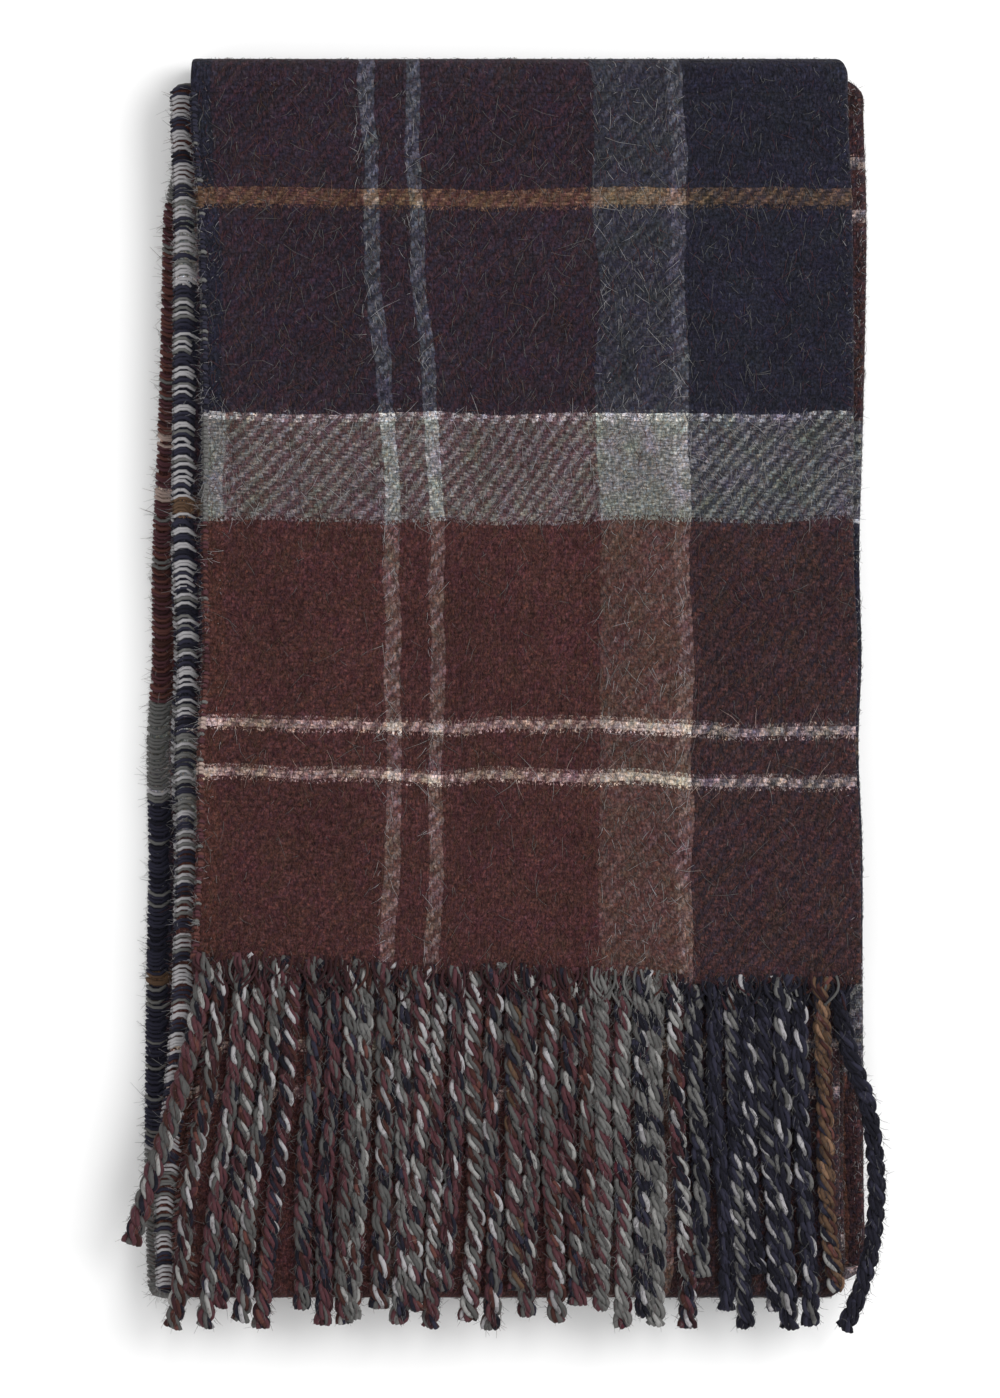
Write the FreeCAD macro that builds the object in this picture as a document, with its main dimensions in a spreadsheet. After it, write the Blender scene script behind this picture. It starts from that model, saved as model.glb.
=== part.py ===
"""Folded fringed scarf of brushed wool tartan, in millimetres.

The cloth is one long strip. It is doubled lengthwise along its right edge, then rolled flat:
the top flap turns over the top fold to the base panel under everything, and the rest of the
strip winds inwards through five panels to a fringed end at the core.
+X runs across the bundle, +Y along it to the top fold, +Z up. The origin is the middle of the
underside's bounding rectangle.
"""

import FreeCAD, Part
import math
import os
import random

import Sketcher

V = FreeCAD.Vector

# Driving dimensions, in millimetres unless the name says otherwise.
DIMENSIONS = {
    "cloth_thick": 1.25,      # one sheet of brushed twill
    "ply_gap": 0.3,           # air between two sheets
    "bundle_length": 293.4,   # top fold to the longest fringe tip
    "half_cloth": 151.0,      # width of one level: the strip doubled along its length
    "flap_end": 60.8,         # the flap's woven edge, this far below the origin in Y
    "bottom_fold": 135.8,     # the outer bottom fold, this far below the origin in Y
    "bottom_inset": 3.5,      # inner bottom fold, inside the outer one
    "top_inset": 4.3,         # second top fold, inside the outer one
    "core_inset": 3.8,        # third top fold, inside the second
    "core_end": 45.0,         # the core panel's woven edge, this far below the origin in Y
    "bend_radius": 5.0,       # outside of the outer top fold's two corners
    "inner_radius": 4.0,      # outside of the other wide folds' corners
    "side_step": 1.0,         # how far the under sheet's selvedge lies from the upper one's
    "flap_left": 70.5,        # left edges of the levels, this far left of the origin
    "base_left": 81.1,
    "second_left": 75.5,
    "third_left": 69.9,
    "fourth_left": 73.5,
    "core_left": 72.5,
    "fold_width": 149.0,      # of the folds that join two levels lying a little apart
    "strand_thick": 3.0,      # one twisted fringe strand
    "strand_pitch": 8.2,      # between two strands of one sheet
    "strand_wander": 1.6,     # how far a strand strays sideways
    "fringe_length": 85.9,    # the longest strand
    "core_fringe": 77.0,
    "strand_count": 18,       # strands on the end of one sheet
    "strand_room": 3.5,       # from the selvedge to the first strand's middle
    "strand_lift": 0.35,      # air under the flap's strands
    "row_step": 2.5,          # how much shorter the under sheet's strands are
}
STRAND_SHORTEST = 0.74        # of the longest strand
STRAND_SPREAD = 1.6           # the rows fan out by this at their tips
STRAND_RUNS = 5               # straight runs in a strand's path
STRAND_WAVE = 4.1             # radians of sideways wave along a strand
STRAND_PHASE = 0.6            # where in that wave a strand starts, in radians
LEAST_TURN = 0.003            # a smaller turn than this, in radians, needs no arc
SEED = 11


class Size:
    """A number together with the sheet expression that drives it."""

    def __init__(self, value, text):
        self.value = value
        self.text = text

    def _join(self, other, sign, value):
        other_text = other.text if isinstance(other, Size) else repr(float(other))
        return Size(value, "(" + self.text + " " + sign + " " + other_text + ")")

    def __add__(self, other):
        return self._join(other, "+", self.value + number(other))

    def __sub__(self, other):
        return self._join(other, "-", self.value - number(other))

    def __mul__(self, other):
        return self._join(other, "*", self.value * number(other))

    def __neg__(self):
        return Size(-self.value, "(0 - " + self.text + ")")


def number(size):
    return size.value if isinstance(size, Size) else float(size)


doc = FreeCAD.newDocument("folded_scarf")
sheet = doc.addObject("Spreadsheet::Sheet", "Sizes")
for row, (alias, amount) in enumerate(DIMENSIONS.items(), start=1):
    sheet.set("A%d" % row, alias)
    sheet.set("B%d" % row, str(amount))
    sheet.setAlias("B%d" % row, alias)
doc.recompute()
S = {alias: Size(float(sheet.get(alias)), "Sizes." + alias) for alias in DIMENSIONS}

ZERO = S["cloth_thick"] * 0.0
THICK = S["cloth_thick"]
PITCH = S["cloth_thick"] + S["ply_gap"]
TOP = S["bundle_length"] * 0.5
BOTTOM = -S["bottom_fold"]
FOLD_OUT = THICK + S["ply_gap"] * 0.5     # outer radius of the tight fold between two sheets
FOLD_IN = S["ply_gap"] * 0.5              # its inner radius
BEND_CENTRE = TOP - S["bend_radius"]      # Y where the outer top fold's corners begin

parts = []


def sheet_low(index):
    """Height of the underside of a sheet, counted from 0 at the bottom of the bundle."""
    return PITCH * float(index)


def sheet_high(index):
    return sheet_low(index) + THICK


def line(start_x, start_y):
    """An outline corner from which a straight edge leaves."""
    return (start_x, start_y, None, None)


def arc(start_x, start_y, centre, radius, turn):
    """An outline corner from which an arc leaves; turn is 1 anticlockwise, -1 clockwise."""
    return (start_x, start_y, (centre, radius), turn)


def outline_body(label, plane, corners, length, place):
    """A PartDesign body: one closed outline of lines and arcs, padded by length."""
    body = doc.addObject("PartDesign::Body", label)
    body.Label = label
    sketch = body.newObject("Sketcher::SketchObject", label + "_outline")
    base = [f for f in body.Origin.OriginFeatures if f.Role == plane][0]
    sketch.AttachmentSupport = [(base, "")]
    sketch.MapMode = "FlatFace"
    points = [V(number(c[0]), number(c[1]), 0) for c in corners]
    starts = []
    for i, corner in enumerate(corners):
        here = points[i]
        there = points[(i + 1) % len(points)]
        if corner[2] is None:
            sketch.addGeometry(Part.LineSegment(here, there), False)
            starts.append((1, 2))
            continue
        centre_size, radius = corner[2]
        centre = V(number(centre_size[0]), number(centre_size[1]), 0)
        first, last = (here, there) if corner[3] > 0 else (there, here)
        circle = Part.Circle(centre, V(0, 0, 1), number(radius))
        low = math.atan2(first.y - centre.y, first.x - centre.x)
        high = math.atan2(last.y - centre.y, last.x - centre.x)
        if high <= low:
            high += 2 * math.pi
        sketch.addGeometry(Part.ArcOfCircle(circle, low, high), False)
        starts.append((1, 2) if corner[3] > 0 else (2, 1))
    for i in range(len(corners)):
        after = (i + 1) % len(corners)
        sketch.addConstraint(
            Sketcher.Constraint("Coincident", i, starts[i][1], after, starts[after][0])
        )
    for i, corner in enumerate(corners):
        for kind, size in (("DistanceX", corner[0]), ("DistanceY", corner[1])):
            index = sketch.addConstraint(
                Sketcher.Constraint(kind, -1, 1, i, starts[i][0], number(size))
            )
            sketch.setExpression("Constraints[%d]" % index, size.text)
        if corner[2] is not None:
            middle = corner[2][0][0]
            index = sketch.addConstraint(
                Sketcher.Constraint("DistanceX", -1, 1, i, 3, number(middle))
            )
            sketch.setExpression("Constraints[%d]" % index, middle.text)
    pad = body.newObject("PartDesign::Pad", label + "_pad")
    pad.Profile = sketch
    pad.Length = number(length)
    pad.setExpression("Length", length.text)
    for axis, size in zip("xyz", place):
        body.setExpression("Placement.Base." + axis, size.text)
    parts.append(body)
    return body


def rectangle(label, place, size_x, size_y):
    """A flat sheet of cloth: a rectangle in X and Y, padded up by the cloth's thickness."""
    corners = [line(ZERO, ZERO), line(size_x, ZERO), line(size_x, size_y), line(ZERO, size_y)]
    return outline_body(label, "XY_Plane", corners, THICK, place)


def side_fold(label, right, centre_z, low_y, high_y):
    """The tight lengthwise fold on a level's right edge: half a ring in X and Z, padded in Y."""
    out, inn = FOLD_OUT, FOLD_IN
    middle = (ZERO, ZERO)
    # The XZ plane looks along +Y, so its pad grows towards -Y and starts at the level's top end.
    corners = [
        arc(ZERO, -out, middle, out, 1),
        line(ZERO, out),
        arc(ZERO, inn, middle, inn, -1),
        line(ZERO, -inn),
    ]
    place = (right - out, high_y, centre_z)
    return outline_body(label, "XZ_Plane", corners, high_y - low_y, place)


def level(name, low_sheet, left, low_y, high_y):
    """One level of the bundle: two flat sheets and the lengthwise fold on their right."""
    right = S["half_cloth"] - left
    flat = right - FOLD_OUT
    for suffix, index, inset in (("under", low_sheet, ZERO), ("upper", low_sheet + 1, S["side_step"])):
        start = inset - left
        rectangle(name + "_" + suffix + "_sheet", (start, low_y, sheet_low(index)),
                  flat - start, high_y - low_y)
    middle = sheet_high(low_sheet) + FOLD_IN
    side_fold(name + "_side_fold", right, middle, low_y, high_y)


def between(left, other_left):
    """Left edge and width of a fold whose two levels have these left edges."""
    return (left + other_left) * -0.5, S["fold_width"]


def wrap(label, span, low_sheet, high_sheet, outside, centre, radius, way, part_turn=False):
    """A crosswise fold from one sheet to a higher one: quarter round, upright, quarter round.

    span is its left edge and width, outside the Y of its outer face, centre the Y of its two
    corners' centres, way +1 at the top end and -1 at the bottom end. With part_turn each corner
    stops halfway round, on the line where the moving pieces part.
    """
    low, high = sheet_low(low_sheet), sheet_high(high_sheet)
    inner = radius - THICK
    inside = outside - THICK if way > 0 else outside + THICK
    low_centre = (centre, low + radius)
    high_centre = (centre, high - radius)
    diagonal = math.sqrt(0.5)
    if part_turn:
        reach_out, reach_in = radius * diagonal, inner * diagonal
        low_out = (centre + reach_out, low + radius - reach_out)
        low_in = (centre + reach_in, low + radius - reach_in)
        high_out = (centre + reach_out, high - radius + reach_out)
        high_in = (centre + reach_in, high - radius + reach_in)
    else:
        low_out, low_in = (centre, low), (centre, low + THICK)
        high_out, high_in = (centre, high), (centre, high - THICK)
    corners = [
        arc(low_out[0], low_out[1], low_centre, radius, way),
        line(outside, low + radius),
        arc(outside, high - radius, high_centre, radius, way),
        line(high_out[0], high_out[1]),
        arc(high_in[0], high_in[1], high_centre, inner, -way),
        line(inside, high - radius),
        arc(inside, low + radius, low_centre, inner, -way),
        line(low_in[0], low_in[1]),
    ]
    return outline_body(label, "YZ_Plane", corners, span[1], (span[0], ZERO, ZERO))


def round_wrap(label, span, low_sheet, high_sheet, centre):
    """The tight crosswise fold at the core: half a ring."""
    low, high = sheet_low(low_sheet), sheet_high(high_sheet)
    out = (high - low) * 0.5
    inn = out - THICK
    middle = (centre, low + out)
    corners = [
        arc(centre, low, middle, out, 1),
        line(centre, high),
        arc(centre, high - THICK, middle, inn, -1),
        line(centre, low + THICK),
    ]
    return outline_body(label, "YZ_Plane", corners, span[1], (span[0], ZERO, ZERO))


def half_corner(label, span, index, radius, upper):
    """The half of an outer top fold corner that stays with its flat sheet, an eighth of a ring."""
    inner = radius - THICK
    diagonal = math.sqrt(0.5)
    centre_y = BEND_CENTRE
    if upper:
        centre_z = sheet_high(index) - radius
        tip = sheet_high(index)
        under = tip - THICK
        way = -1
        sign = 1.0
    else:
        centre_z = sheet_low(index) + radius
        tip = sheet_low(index)
        under = tip + THICK
        way = 1
        sign = -1.0
    middle = (centre_y, centre_z)
    out_y, out_z = centre_y + radius * diagonal, centre_z + radius * (diagonal * sign)
    in_y, in_z = centre_y + inner * diagonal, centre_z + inner * (diagonal * sign)
    corners = [
        arc(centre_y, tip, middle, radius, way),
        line(out_y, out_z),
        arc(in_y, in_z, middle, inner, -way),
        line(centre_y, under),
    ]
    return outline_body(label, "YZ_Plane", corners, span[1], (span[0], ZERO, ZERO))


def strand(root, tip_y, lean, wander, phase, radius):
    """One fringe strand: straight runs joined by tangent arcs, lying at one height.

    The first run leaves the woven edge squarely, so the strand's end lies flat against it.
    """
    run = (tip_y - root.y) / STRAND_RUNS
    points = [root, V(root.x, root.y + run, root.z)]
    for i in range(2, STRAND_RUNS + 1):
        share = (i - 1) / (STRAND_RUNS - 1)
        swing = math.sin(phase + STRAND_WAVE * share) - math.sin(phase)
        points.append(V(root.x + lean * share + wander * swing, root.y + run * i, root.z))
    edges = []
    start = points[0]
    for before, here, after in zip(points, points[1:], points[2:]):
        into = (here - before).normalize()
        out = (after - here).normalize()
        turn = into.getAngle(out)
        if turn < LEAST_TURN:
            continue
        reach = 0.45 * min((here - before).Length, (after - here).Length)
        begin, end = here - into * reach, here + out * reach
        bend = reach / math.tan(turn / 2)
        inward = (out - into).normalize()
        to_centre = math.hypot(bend, reach)
        crown = here + inward * (to_centre - bend)
        edges.append(Part.LineSegment(start, begin).toShape())
        edges.append(Part.Arc(begin, crown, end).toShape())
        start = end
    edges.append(Part.LineSegment(start, points[-1]).toShape())
    path = Part.Wire(edges)
    first = (points[1] - points[0]).normalize()
    ring = Part.Wire([Part.Circle(root, first, radius).toShape()])
    return path.makePipeShell([ring], True, True)


def fringe(label, first_x, end_y, height, longest, seed):
    """A row of twisted strands as separate solids, one fringe node for each sheet."""
    chance = random.Random(seed)
    count = int(number(S["strand_count"]))
    pitch = number(S["strand_pitch"])
    radius = number(S["strand_thick"]) / 2
    wander = number(S["strand_wander"])
    strands = []
    for i in range(count):
        share = 1.0 if i == count // 2 else chance.uniform(STRAND_SHORTEST, 0.99)
        root = V(number(first_x) + i * pitch, number(end_y), number(height))
        lean = STRAND_SPREAD * (2 * i / (count - 1) - 1)
        tip_y = root.y - number(longest) * share
        strands.append(strand(root, tip_y, lean, wander, STRAND_PHASE, radius))
    row = doc.addObject("Part::Feature", label)
    row.Label = label
    row.Shape = Part.Compound(strands)
    row.Placement = FreeCAD.Placement()
    parts.append(row)
    return row


# The six levels, by the sheets that they hold, from the bottom sheet 0 to the top sheet 11.
CORE_TOP = TOP - S["top_inset"] - S["core_inset"]
SECOND_TOP = TOP - S["top_inset"]
INNER_BOTTOM = BOTTOM + S["bottom_inset"]
SECOND_CENTRE = SECOND_TOP - S["inner_radius"]
BOTTOM_CENTRE = BOTTOM + S["inner_radius"]
INNER_BOTTOM_CENTRE = INNER_BOTTOM + S["inner_radius"]
CORE_CENTRE = CORE_TOP - (sheet_high(7) - sheet_low(4)) * 0.5

level("base", 0, S["base_left"], BOTTOM_CENTRE, BEND_CENTRE)
level("third_panel", 2, S["third_left"], INNER_BOTTOM_CENTRE, SECOND_CENTRE)
level("core_panel", 4, S["core_left"], -S["core_end"], CORE_CENTRE)
level("fourth_panel", 6, S["fourth_left"], INNER_BOTTOM_CENTRE, CORE_CENTRE)
level("second_panel", 8, S["second_left"], BOTTOM_CENTRE, SECOND_CENTRE)
level("flap", 10, S["flap_left"], -S["flap_end"], BEND_CENTRE)

# The outer top fold: a spine between two corners, each corner parted halfway round.
OUTER_RADIUS = S["bend_radius"]
LINER_RADIUS = S["bend_radius"] - PITCH
TOP_SPAN = (-S["flap_left"], S["half_cloth"])
wrap("top_fold_outer", TOP_SPAN, 0, 11, TOP, BEND_CENTRE, OUTER_RADIUS, 1, part_turn=True)
wrap("top_fold_liner", TOP_SPAN, 1, 10, TOP - PITCH, BEND_CENTRE, LINER_RADIUS, 1, part_turn=True)
half_corner("base_corner_outer", TOP_SPAN, 0, OUTER_RADIUS, upper=False)
half_corner("base_corner_liner", TOP_SPAN, 1, LINER_RADIUS, upper=False)
half_corner("flap_corner_outer", TOP_SPAN, 11, OUTER_RADIUS, upper=True)
half_corner("flap_corner_liner", TOP_SPAN, 10, LINER_RADIUS, upper=True)

# The folds inside the bundle, outer sheet and liner of each.
WIDE = S["inner_radius"]
WIDE_LINER = S["inner_radius"] - PITCH
bottom_span = between(S["base_left"], S["second_left"])
second_span = between(S["second_left"], S["third_left"])
third_span = between(S["third_left"], S["fourth_left"])
core_span = between(S["fourth_left"], S["core_left"])
wrap("bottom_fold_outer", bottom_span, 0, 9, BOTTOM, BOTTOM_CENTRE, WIDE, -1)
wrap("bottom_fold_liner", bottom_span, 1, 8, BOTTOM + PITCH, BOTTOM_CENTRE, WIDE_LINER, -1)
wrap("second_fold_outer", second_span, 2, 9, SECOND_TOP, SECOND_CENTRE, WIDE, 1)
wrap("second_fold_liner", second_span, 3, 8, SECOND_TOP - PITCH, SECOND_CENTRE, WIDE_LINER, 1)
wrap("third_fold_outer", third_span, 2, 7, INNER_BOTTOM, INNER_BOTTOM_CENTRE, WIDE, -1)
wrap("third_fold_liner", third_span, 3, 6, INNER_BOTTOM + PITCH, INNER_BOTTOM_CENTRE,
     WIDE_LINER, -1)
round_wrap("core_fold_outer", core_span, 4, 7, CORE_CENTRE)
round_wrap("core_fold_liner", core_span, 5, 6, CORE_CENTRE)

# The fringe rows: the under sheet's strands lie between the upper sheet's.
strand_radius = S["strand_thick"] * 0.5
flap_height = sheet_high(9) + S["strand_lift"] + strand_radius
core_height = sheet_high(3) + S["ply_gap"] + strand_radius
half_pitch = S["strand_pitch"] * 0.5
shorter = S["fringe_length"] - S["row_step"]
core_shorter = S["core_fringe"] - S["row_step"]
flap_first = S["strand_room"] - S["flap_left"]
core_first = S["strand_room"] - S["core_left"]
flap_edge = -S["flap_end"]
core_edge = -S["core_end"]
fringe("flap_fringe_upper", flap_first, flap_edge, flap_height, S["fringe_length"], SEED)
fringe("flap_fringe_under", flap_first + half_pitch, flap_edge, flap_height, shorter, SEED + 1)
fringe("core_fringe_upper", core_first, core_edge, core_height, S["core_fringe"], SEED + 2)
fringe("core_fringe_under", core_first + half_pitch, core_edge, core_height, core_shorter,
       SEED + 3)

doc.recompute()

for thing in doc.Objects:
    if "Invalid" in thing.State or "Error" in thing.State:
        raise RuntimeError("failed object: " + thing.Label)
for thing in parts:
    if thing.Shape.isNull() or not thing.Shape.isValid():
        raise RuntimeError("bad shape: " + thing.Label)

os.makedirs("parts", exist_ok=True)
for thing in parts:
    thing.Shape.exportStep("parts/" + thing.Label + ".step")
    box = thing.Shape.BoundBox
    print("%-28s solids %2d volume %9.1f  x %7.2f %7.2f  y %7.2f %7.2f  z %6.2f %6.2f" % (
        thing.Label, len(thing.Shape.Solids), thing.Shape.Volume,
        box.XMin, box.XMax, box.YMin, box.YMax, box.ZMin, box.ZMax))
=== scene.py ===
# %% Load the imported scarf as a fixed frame
import math

import bpy
import numpy as np
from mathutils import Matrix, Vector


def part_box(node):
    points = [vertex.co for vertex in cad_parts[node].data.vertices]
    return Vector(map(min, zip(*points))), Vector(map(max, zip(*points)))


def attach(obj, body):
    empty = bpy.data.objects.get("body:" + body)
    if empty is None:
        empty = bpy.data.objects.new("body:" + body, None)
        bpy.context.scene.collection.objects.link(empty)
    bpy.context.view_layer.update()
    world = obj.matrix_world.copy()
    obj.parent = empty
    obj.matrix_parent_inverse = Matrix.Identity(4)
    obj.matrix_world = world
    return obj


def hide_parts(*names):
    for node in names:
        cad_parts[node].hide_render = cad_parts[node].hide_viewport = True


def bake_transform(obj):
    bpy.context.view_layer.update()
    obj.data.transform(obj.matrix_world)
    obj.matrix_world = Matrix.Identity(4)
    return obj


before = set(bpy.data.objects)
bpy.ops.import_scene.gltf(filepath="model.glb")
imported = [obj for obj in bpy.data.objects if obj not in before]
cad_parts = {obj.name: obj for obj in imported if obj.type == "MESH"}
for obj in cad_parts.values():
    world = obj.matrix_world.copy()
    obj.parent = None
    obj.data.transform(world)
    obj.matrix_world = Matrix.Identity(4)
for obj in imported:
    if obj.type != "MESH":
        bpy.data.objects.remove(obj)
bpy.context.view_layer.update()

# %% [markdown]
# The scarf is one long strip of brushed twill. It is doubled along its length, with the soft fold on
# the right, and then rolled flat, so the same strip shows up at six heights. Each point of the cloth
# has two addresses: how far across the strip it is, and how far along it is from the flap's woven
# edge. Modelling each layer as its own flat sheet would break the tartan at every fold, so the whole
# strip is one formula from (across, along) to a place in space, and each piece is a stretch of it.

# %% The sizes of the strip, read from the frame
MM = 0.001
flap_low, flap_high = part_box("flap_upper_sheet")
under_low, under_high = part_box("flap_under_sheet")
CLOTH = flap_high.z - flap_low.z              # one sheet of twill
PLY = (flap_high.z - under_high.z) / 2        # from the doubled strip's middle to a sheet's middle
TWO_SHEETS = flap_high.z - under_low.z
STACK = flap_high.z                           # height of the whole bundle
FOLD_ARC = math.pi * PLY                      # length of cloth in the lengthwise fold
SCARF_WIDTH = 301 * MM                        # the woven strip, selvedge to selvedge
HALF = (SCARF_WIDTH - FOLD_ARC) / 2
print("cloth %.2f mm thick, stack %.1f mm high" % (CLOTH / MM, STACK / MM))


# %% [markdown]
# The rolled strip seen from the side is a line of straight runs and round bends, like a paper clip.
# A list of those runs and bends, each with its length, turns a distance along the cloth into a place
# and a direction. The bends could be drawn as curves by hand; arcs are used because the sheets of a
# folded cloth stay a fixed distance apart, and arcs keep that distance exactly.

# %% The side-on line of the rolled strip
class Run:
    """One straight run or round bend of the strip's middle line, in the Y-Z plane."""

    def __init__(self, start, heading, length, turn=0.0):
        self.start = start
        self.heading = heading
        self.length = length
        self.turn = turn

    def at(self, along):
        """The place and the heading after going this far along."""
        bend = self.turn * along / self.length
        if self.turn == 0:
            y = self.start[0] + math.cos(self.heading) * along
            z = self.start[1] + math.sin(self.heading) * along
        else:
            radius = self.length / self.turn
            y = self.start[0] + radius * (math.sin(self.heading + bend) - math.sin(self.heading))
            z = self.start[1] - radius * (math.cos(self.heading + bend) - math.cos(self.heading))
        return y, z, self.heading + bend


def middle_height(panel):
    return (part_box(panel + "_under_sheet")[0].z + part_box(panel + "_upper_sheet")[1].z) / 2


def add_run(runs, length, turn=0.0):
    last = runs[-1]
    y, z, heading = last.at(last.length)
    runs.append(Run((y, z), heading, length, turn))


def add_fold(runs, wall, next_height):
    """A crosswise fold: a quarter bend, an upright, and a quarter bend to the next panel."""
    last = runs[-1]
    y, z, _ = last.at(last.length)
    radius = min(abs(wall - y) - TWO_SHEETS / 2, abs(next_height - z) / 2)
    upright = abs(next_height - z) - 2 * radius
    add_run(runs, radius * math.pi / 2, -math.pi / 2)
    add_run(runs, max(upright, 1e-6))
    add_run(runs, radius * math.pi / 2, -math.pi / 2)


PANELS = ("flap", "base", "second_panel", "third_panel", "fourth_panel", "core_panel")
FOLDS = ("top_fold", "bottom_fold", "second_fold", "third_fold", "core_fold")
flap_end = flap_low.y
line = [Run((flap_end, middle_height("flap")), 0.0, flap_high.y - flap_end)]
panel_starts = [0.0]
panel_ends = [line[0].length]
for number, fold in enumerate(FOLDS):
    low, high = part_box(fold + "_outer")
    at_top = number % 2 == 0
    add_fold(line, high.y if at_top else low.y, middle_height(PANELS[number + 1]))
    panel_starts.append(sum(run.length for run in line))
    sheet_low, sheet_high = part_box(PANELS[number + 1] + "_under_sheet")
    here = line[-1].at(line[-1].length)[0]
    there = sheet_low.y if at_top else sheet_high.y
    add_run(line, abs(there - here))
    panel_ends.append(sum(run.length for run in line))
SCARF_LENGTH = panel_ends[-1]
print("woven length %.0f mm, panels start at" % (SCARF_LENGTH / MM),
      [round(s / MM) for s in panel_starts])


# %% The place and the outward direction of the middle line at any distance
run_starts = np.cumsum([0.0] + [run.length for run in line])


def middle_line(along):
    """Arrays of y, z and the outward direction's y and z, for an array of distances."""
    rows = np.empty((len(along), 4))
    for i, distance in enumerate(along):
        k = int(np.clip(np.searchsorted(run_starts, distance, side="right") - 1, 0, len(line) - 1))
        y, z, heading = line[k].at(distance - run_starts[k])
        rows[i] = (y, z, -math.sin(heading), math.cos(heading))
    return rows.T


# %% [markdown]
# A hand-folded scarf is never square: the selvedges wander by a few millimetres, the base panel lies
# a little askew, and the flap spreads towards its fringe. Each edge is a short formula of the height
# up the bundle, so the drift is smooth. Random noise could do it, but each real edge has a clear
# shape of its own.

# %% The wandering edges of every panel
def ease(value, start, end):
    """0 before start, 1 after end, smooth between."""
    t = np.clip((value - start) / (end - start), 0, 1)
    return t * t * (3 - 2 * t)


def flap_edges(y):
    share = np.clip((y - flap_end) / (flap_high.y - flap_end), 0, 1)
    left = (-71.6 + 2.8 * np.sin(math.pi * share)) * MM
    right = (77.9 + 2.9 * (1 - share) ** 3 + 0.9 * np.sin(math.pi * share)) * MM
    return left, left + 1.0 * MM, right


def base_edges(y):
    left = (-80.4 + 1.8 * np.tanh((y - 35 * MM) / (50 * MM))) * MM
    liner = np.full_like(y, -76.1 * MM)
    right = np.full_like(y, 70.4 * MM)
    near_top = ease(y, 108 * MM, 143 * MM)
    top_left, top_liner, top_right = flap_edges(np.full_like(y, flap_high.y))
    return (left + (top_left - left) * near_top, liner + (top_liner - liner) * near_top,
            right + (top_right - right) * near_top)


def second_edges(y):
    swell = 1.0 * np.exp(-((y + 5 * MM) / (45 * MM)) ** 2)
    liner = (-75.8 + swell - 3.9 * ease(-y, 62 * MM, 122 * MM)) * MM
    outer = (-69.3 - 6.4 * ease(-y, 75 * MM, 125 * MM)) * MM
    return outer + 0 * y, liner, 76.2 * MM + 0 * y


def third_edges(y):
    right = (81.6 - 0.6 * np.cos(y / (38 * MM))) * MM
    return -67.9 * MM + 0 * y, -67.3 * MM + 0 * y, right


def fourth_edges(y):
    return -72.4 * MM + 0 * y, -71.6 * MM + 0 * y, 77.2 * MM + 0 * y


def core_edges(y):
    return -71.3 * MM + 0 * y, -70.4 * MM + 0 * y, 78.0 * MM + 0 * y


EDGES = (flap_edges, base_edges, second_edges, third_edges, fourth_edges, core_edges)


def edges_at(along, y):
    """Left edge of the outer sheet, left edge of the liner, and the lengthwise fold's X."""
    found = np.zeros((3, len(along)))
    for k, edge in enumerate(EDGES):
        low = panel_starts[k]
        high = panel_ends[k]
        share = np.ones(len(along))
        if k > 0:
            share = share * ease(along, panel_ends[k - 1], low)
        if k < len(EDGES) - 1:
            share = share * (1 - ease(along, high, panel_starts[k + 1]))
        held = np.clip(y, flap_end if k == 0 else -1.0, 1.0)
        found += np.array(edge(held)) * share
    turned = sum(np.sin(math.pi * np.clip((along - panel_ends[k]) /
                                          (panel_starts[k + 1] - panel_ends[k]), 0, 1)) ** 2
                 for k in range(len(EDGES) - 1))
    found[2] -= 2.6 * MM * turned
    return found


# %% [markdown]
# Soft cloth also rises and dips a little. Every layer follows the same gentle waves, scaled by its
# height, so the layers nest and never cut through each other. The waves only lower the cloth, so the
# flap still lies level when it is turned over.

# %% Gentle waves shared by the whole stack
WAVE_DEPTH = 0.9 * MM


def settle(x, y, z):
    """The same point after the stack has settled into gentle waves."""
    swell = (np.sin(x * 61 + 2.1 * np.sin(y * 23) + 0.4) * np.sin(y * 37 + 1.1 * np.sin(x * 31))
             + 0.5 * np.sin(x * 123 + 1.3 * np.sin(y * 71 + 2.0)) * np.sin(y * 97 + 0.7))
    drop = WAVE_DEPTH * (0.5 + swell / 3)
    side = 0.35 * MM * np.sin(y * 88 + 1.5 * np.sin(y * 41)) * ease(np.abs(x), 40 * MM, 75 * MM)
    return x + side, y, z * (1 - drop / STACK)


# %% From an address on the cloth to a place in space
END_SLANT = 5.6 * MM        # the woven end reaches this much lower on the right than on the left


def end_slant(x):
    """How far the woven end lies above or below its middle, for places from side to side."""
    wobble = 0.5 * np.sin(x * 95 + 0.6) + 0.35 * np.sin(x * 211 + 2.0)
    return END_SLANT * (0.36 - (x + 71 * MM) / (149 * MM)) + wobble * MM


def cloth_point(across, along, depth):
    """Places for arrays of addresses; depth runs from -1 on the inner face to 1 on the outer."""
    y0, z0, out_y, out_z = middle_line(along)
    left, liner_left, right = edges_at(along, y0)
    bend_x = right - PLY - CLOTH / 2
    outer_share = np.minimum(across / HALF, 1)
    liner_share = np.minimum((SCARF_WIDTH - across) / HALF, 1)
    angle = np.clip((across - HALF) / FOLD_ARC, 0, 1) * math.pi
    reach = PLY + depth * CLOTH / 2
    x = np.where(across < HALF, left + (bend_x - left) * outer_share,
                 np.where(across > HALF + FOLD_ARC, liner_left + (bend_x - liner_left) * liner_share,
                          bend_x)) + reach * np.sin(angle)
    off = reach * np.cos(angle)
    y0 = y0 + end_slant(x) * (1 - ease(along, 0, 85 * MM))
    return np.stack(settle(x, y0 + off * out_y, z0 + off * out_z), axis=-1)


# %% [markdown]
# Cloth that has been handled is also pulled a little out of square within its own surface, so the
# pale warp lines lean and the stripes crowd or spread in places. That is a small shift of the
# weave's address, not of the cloth's shape.

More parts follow.
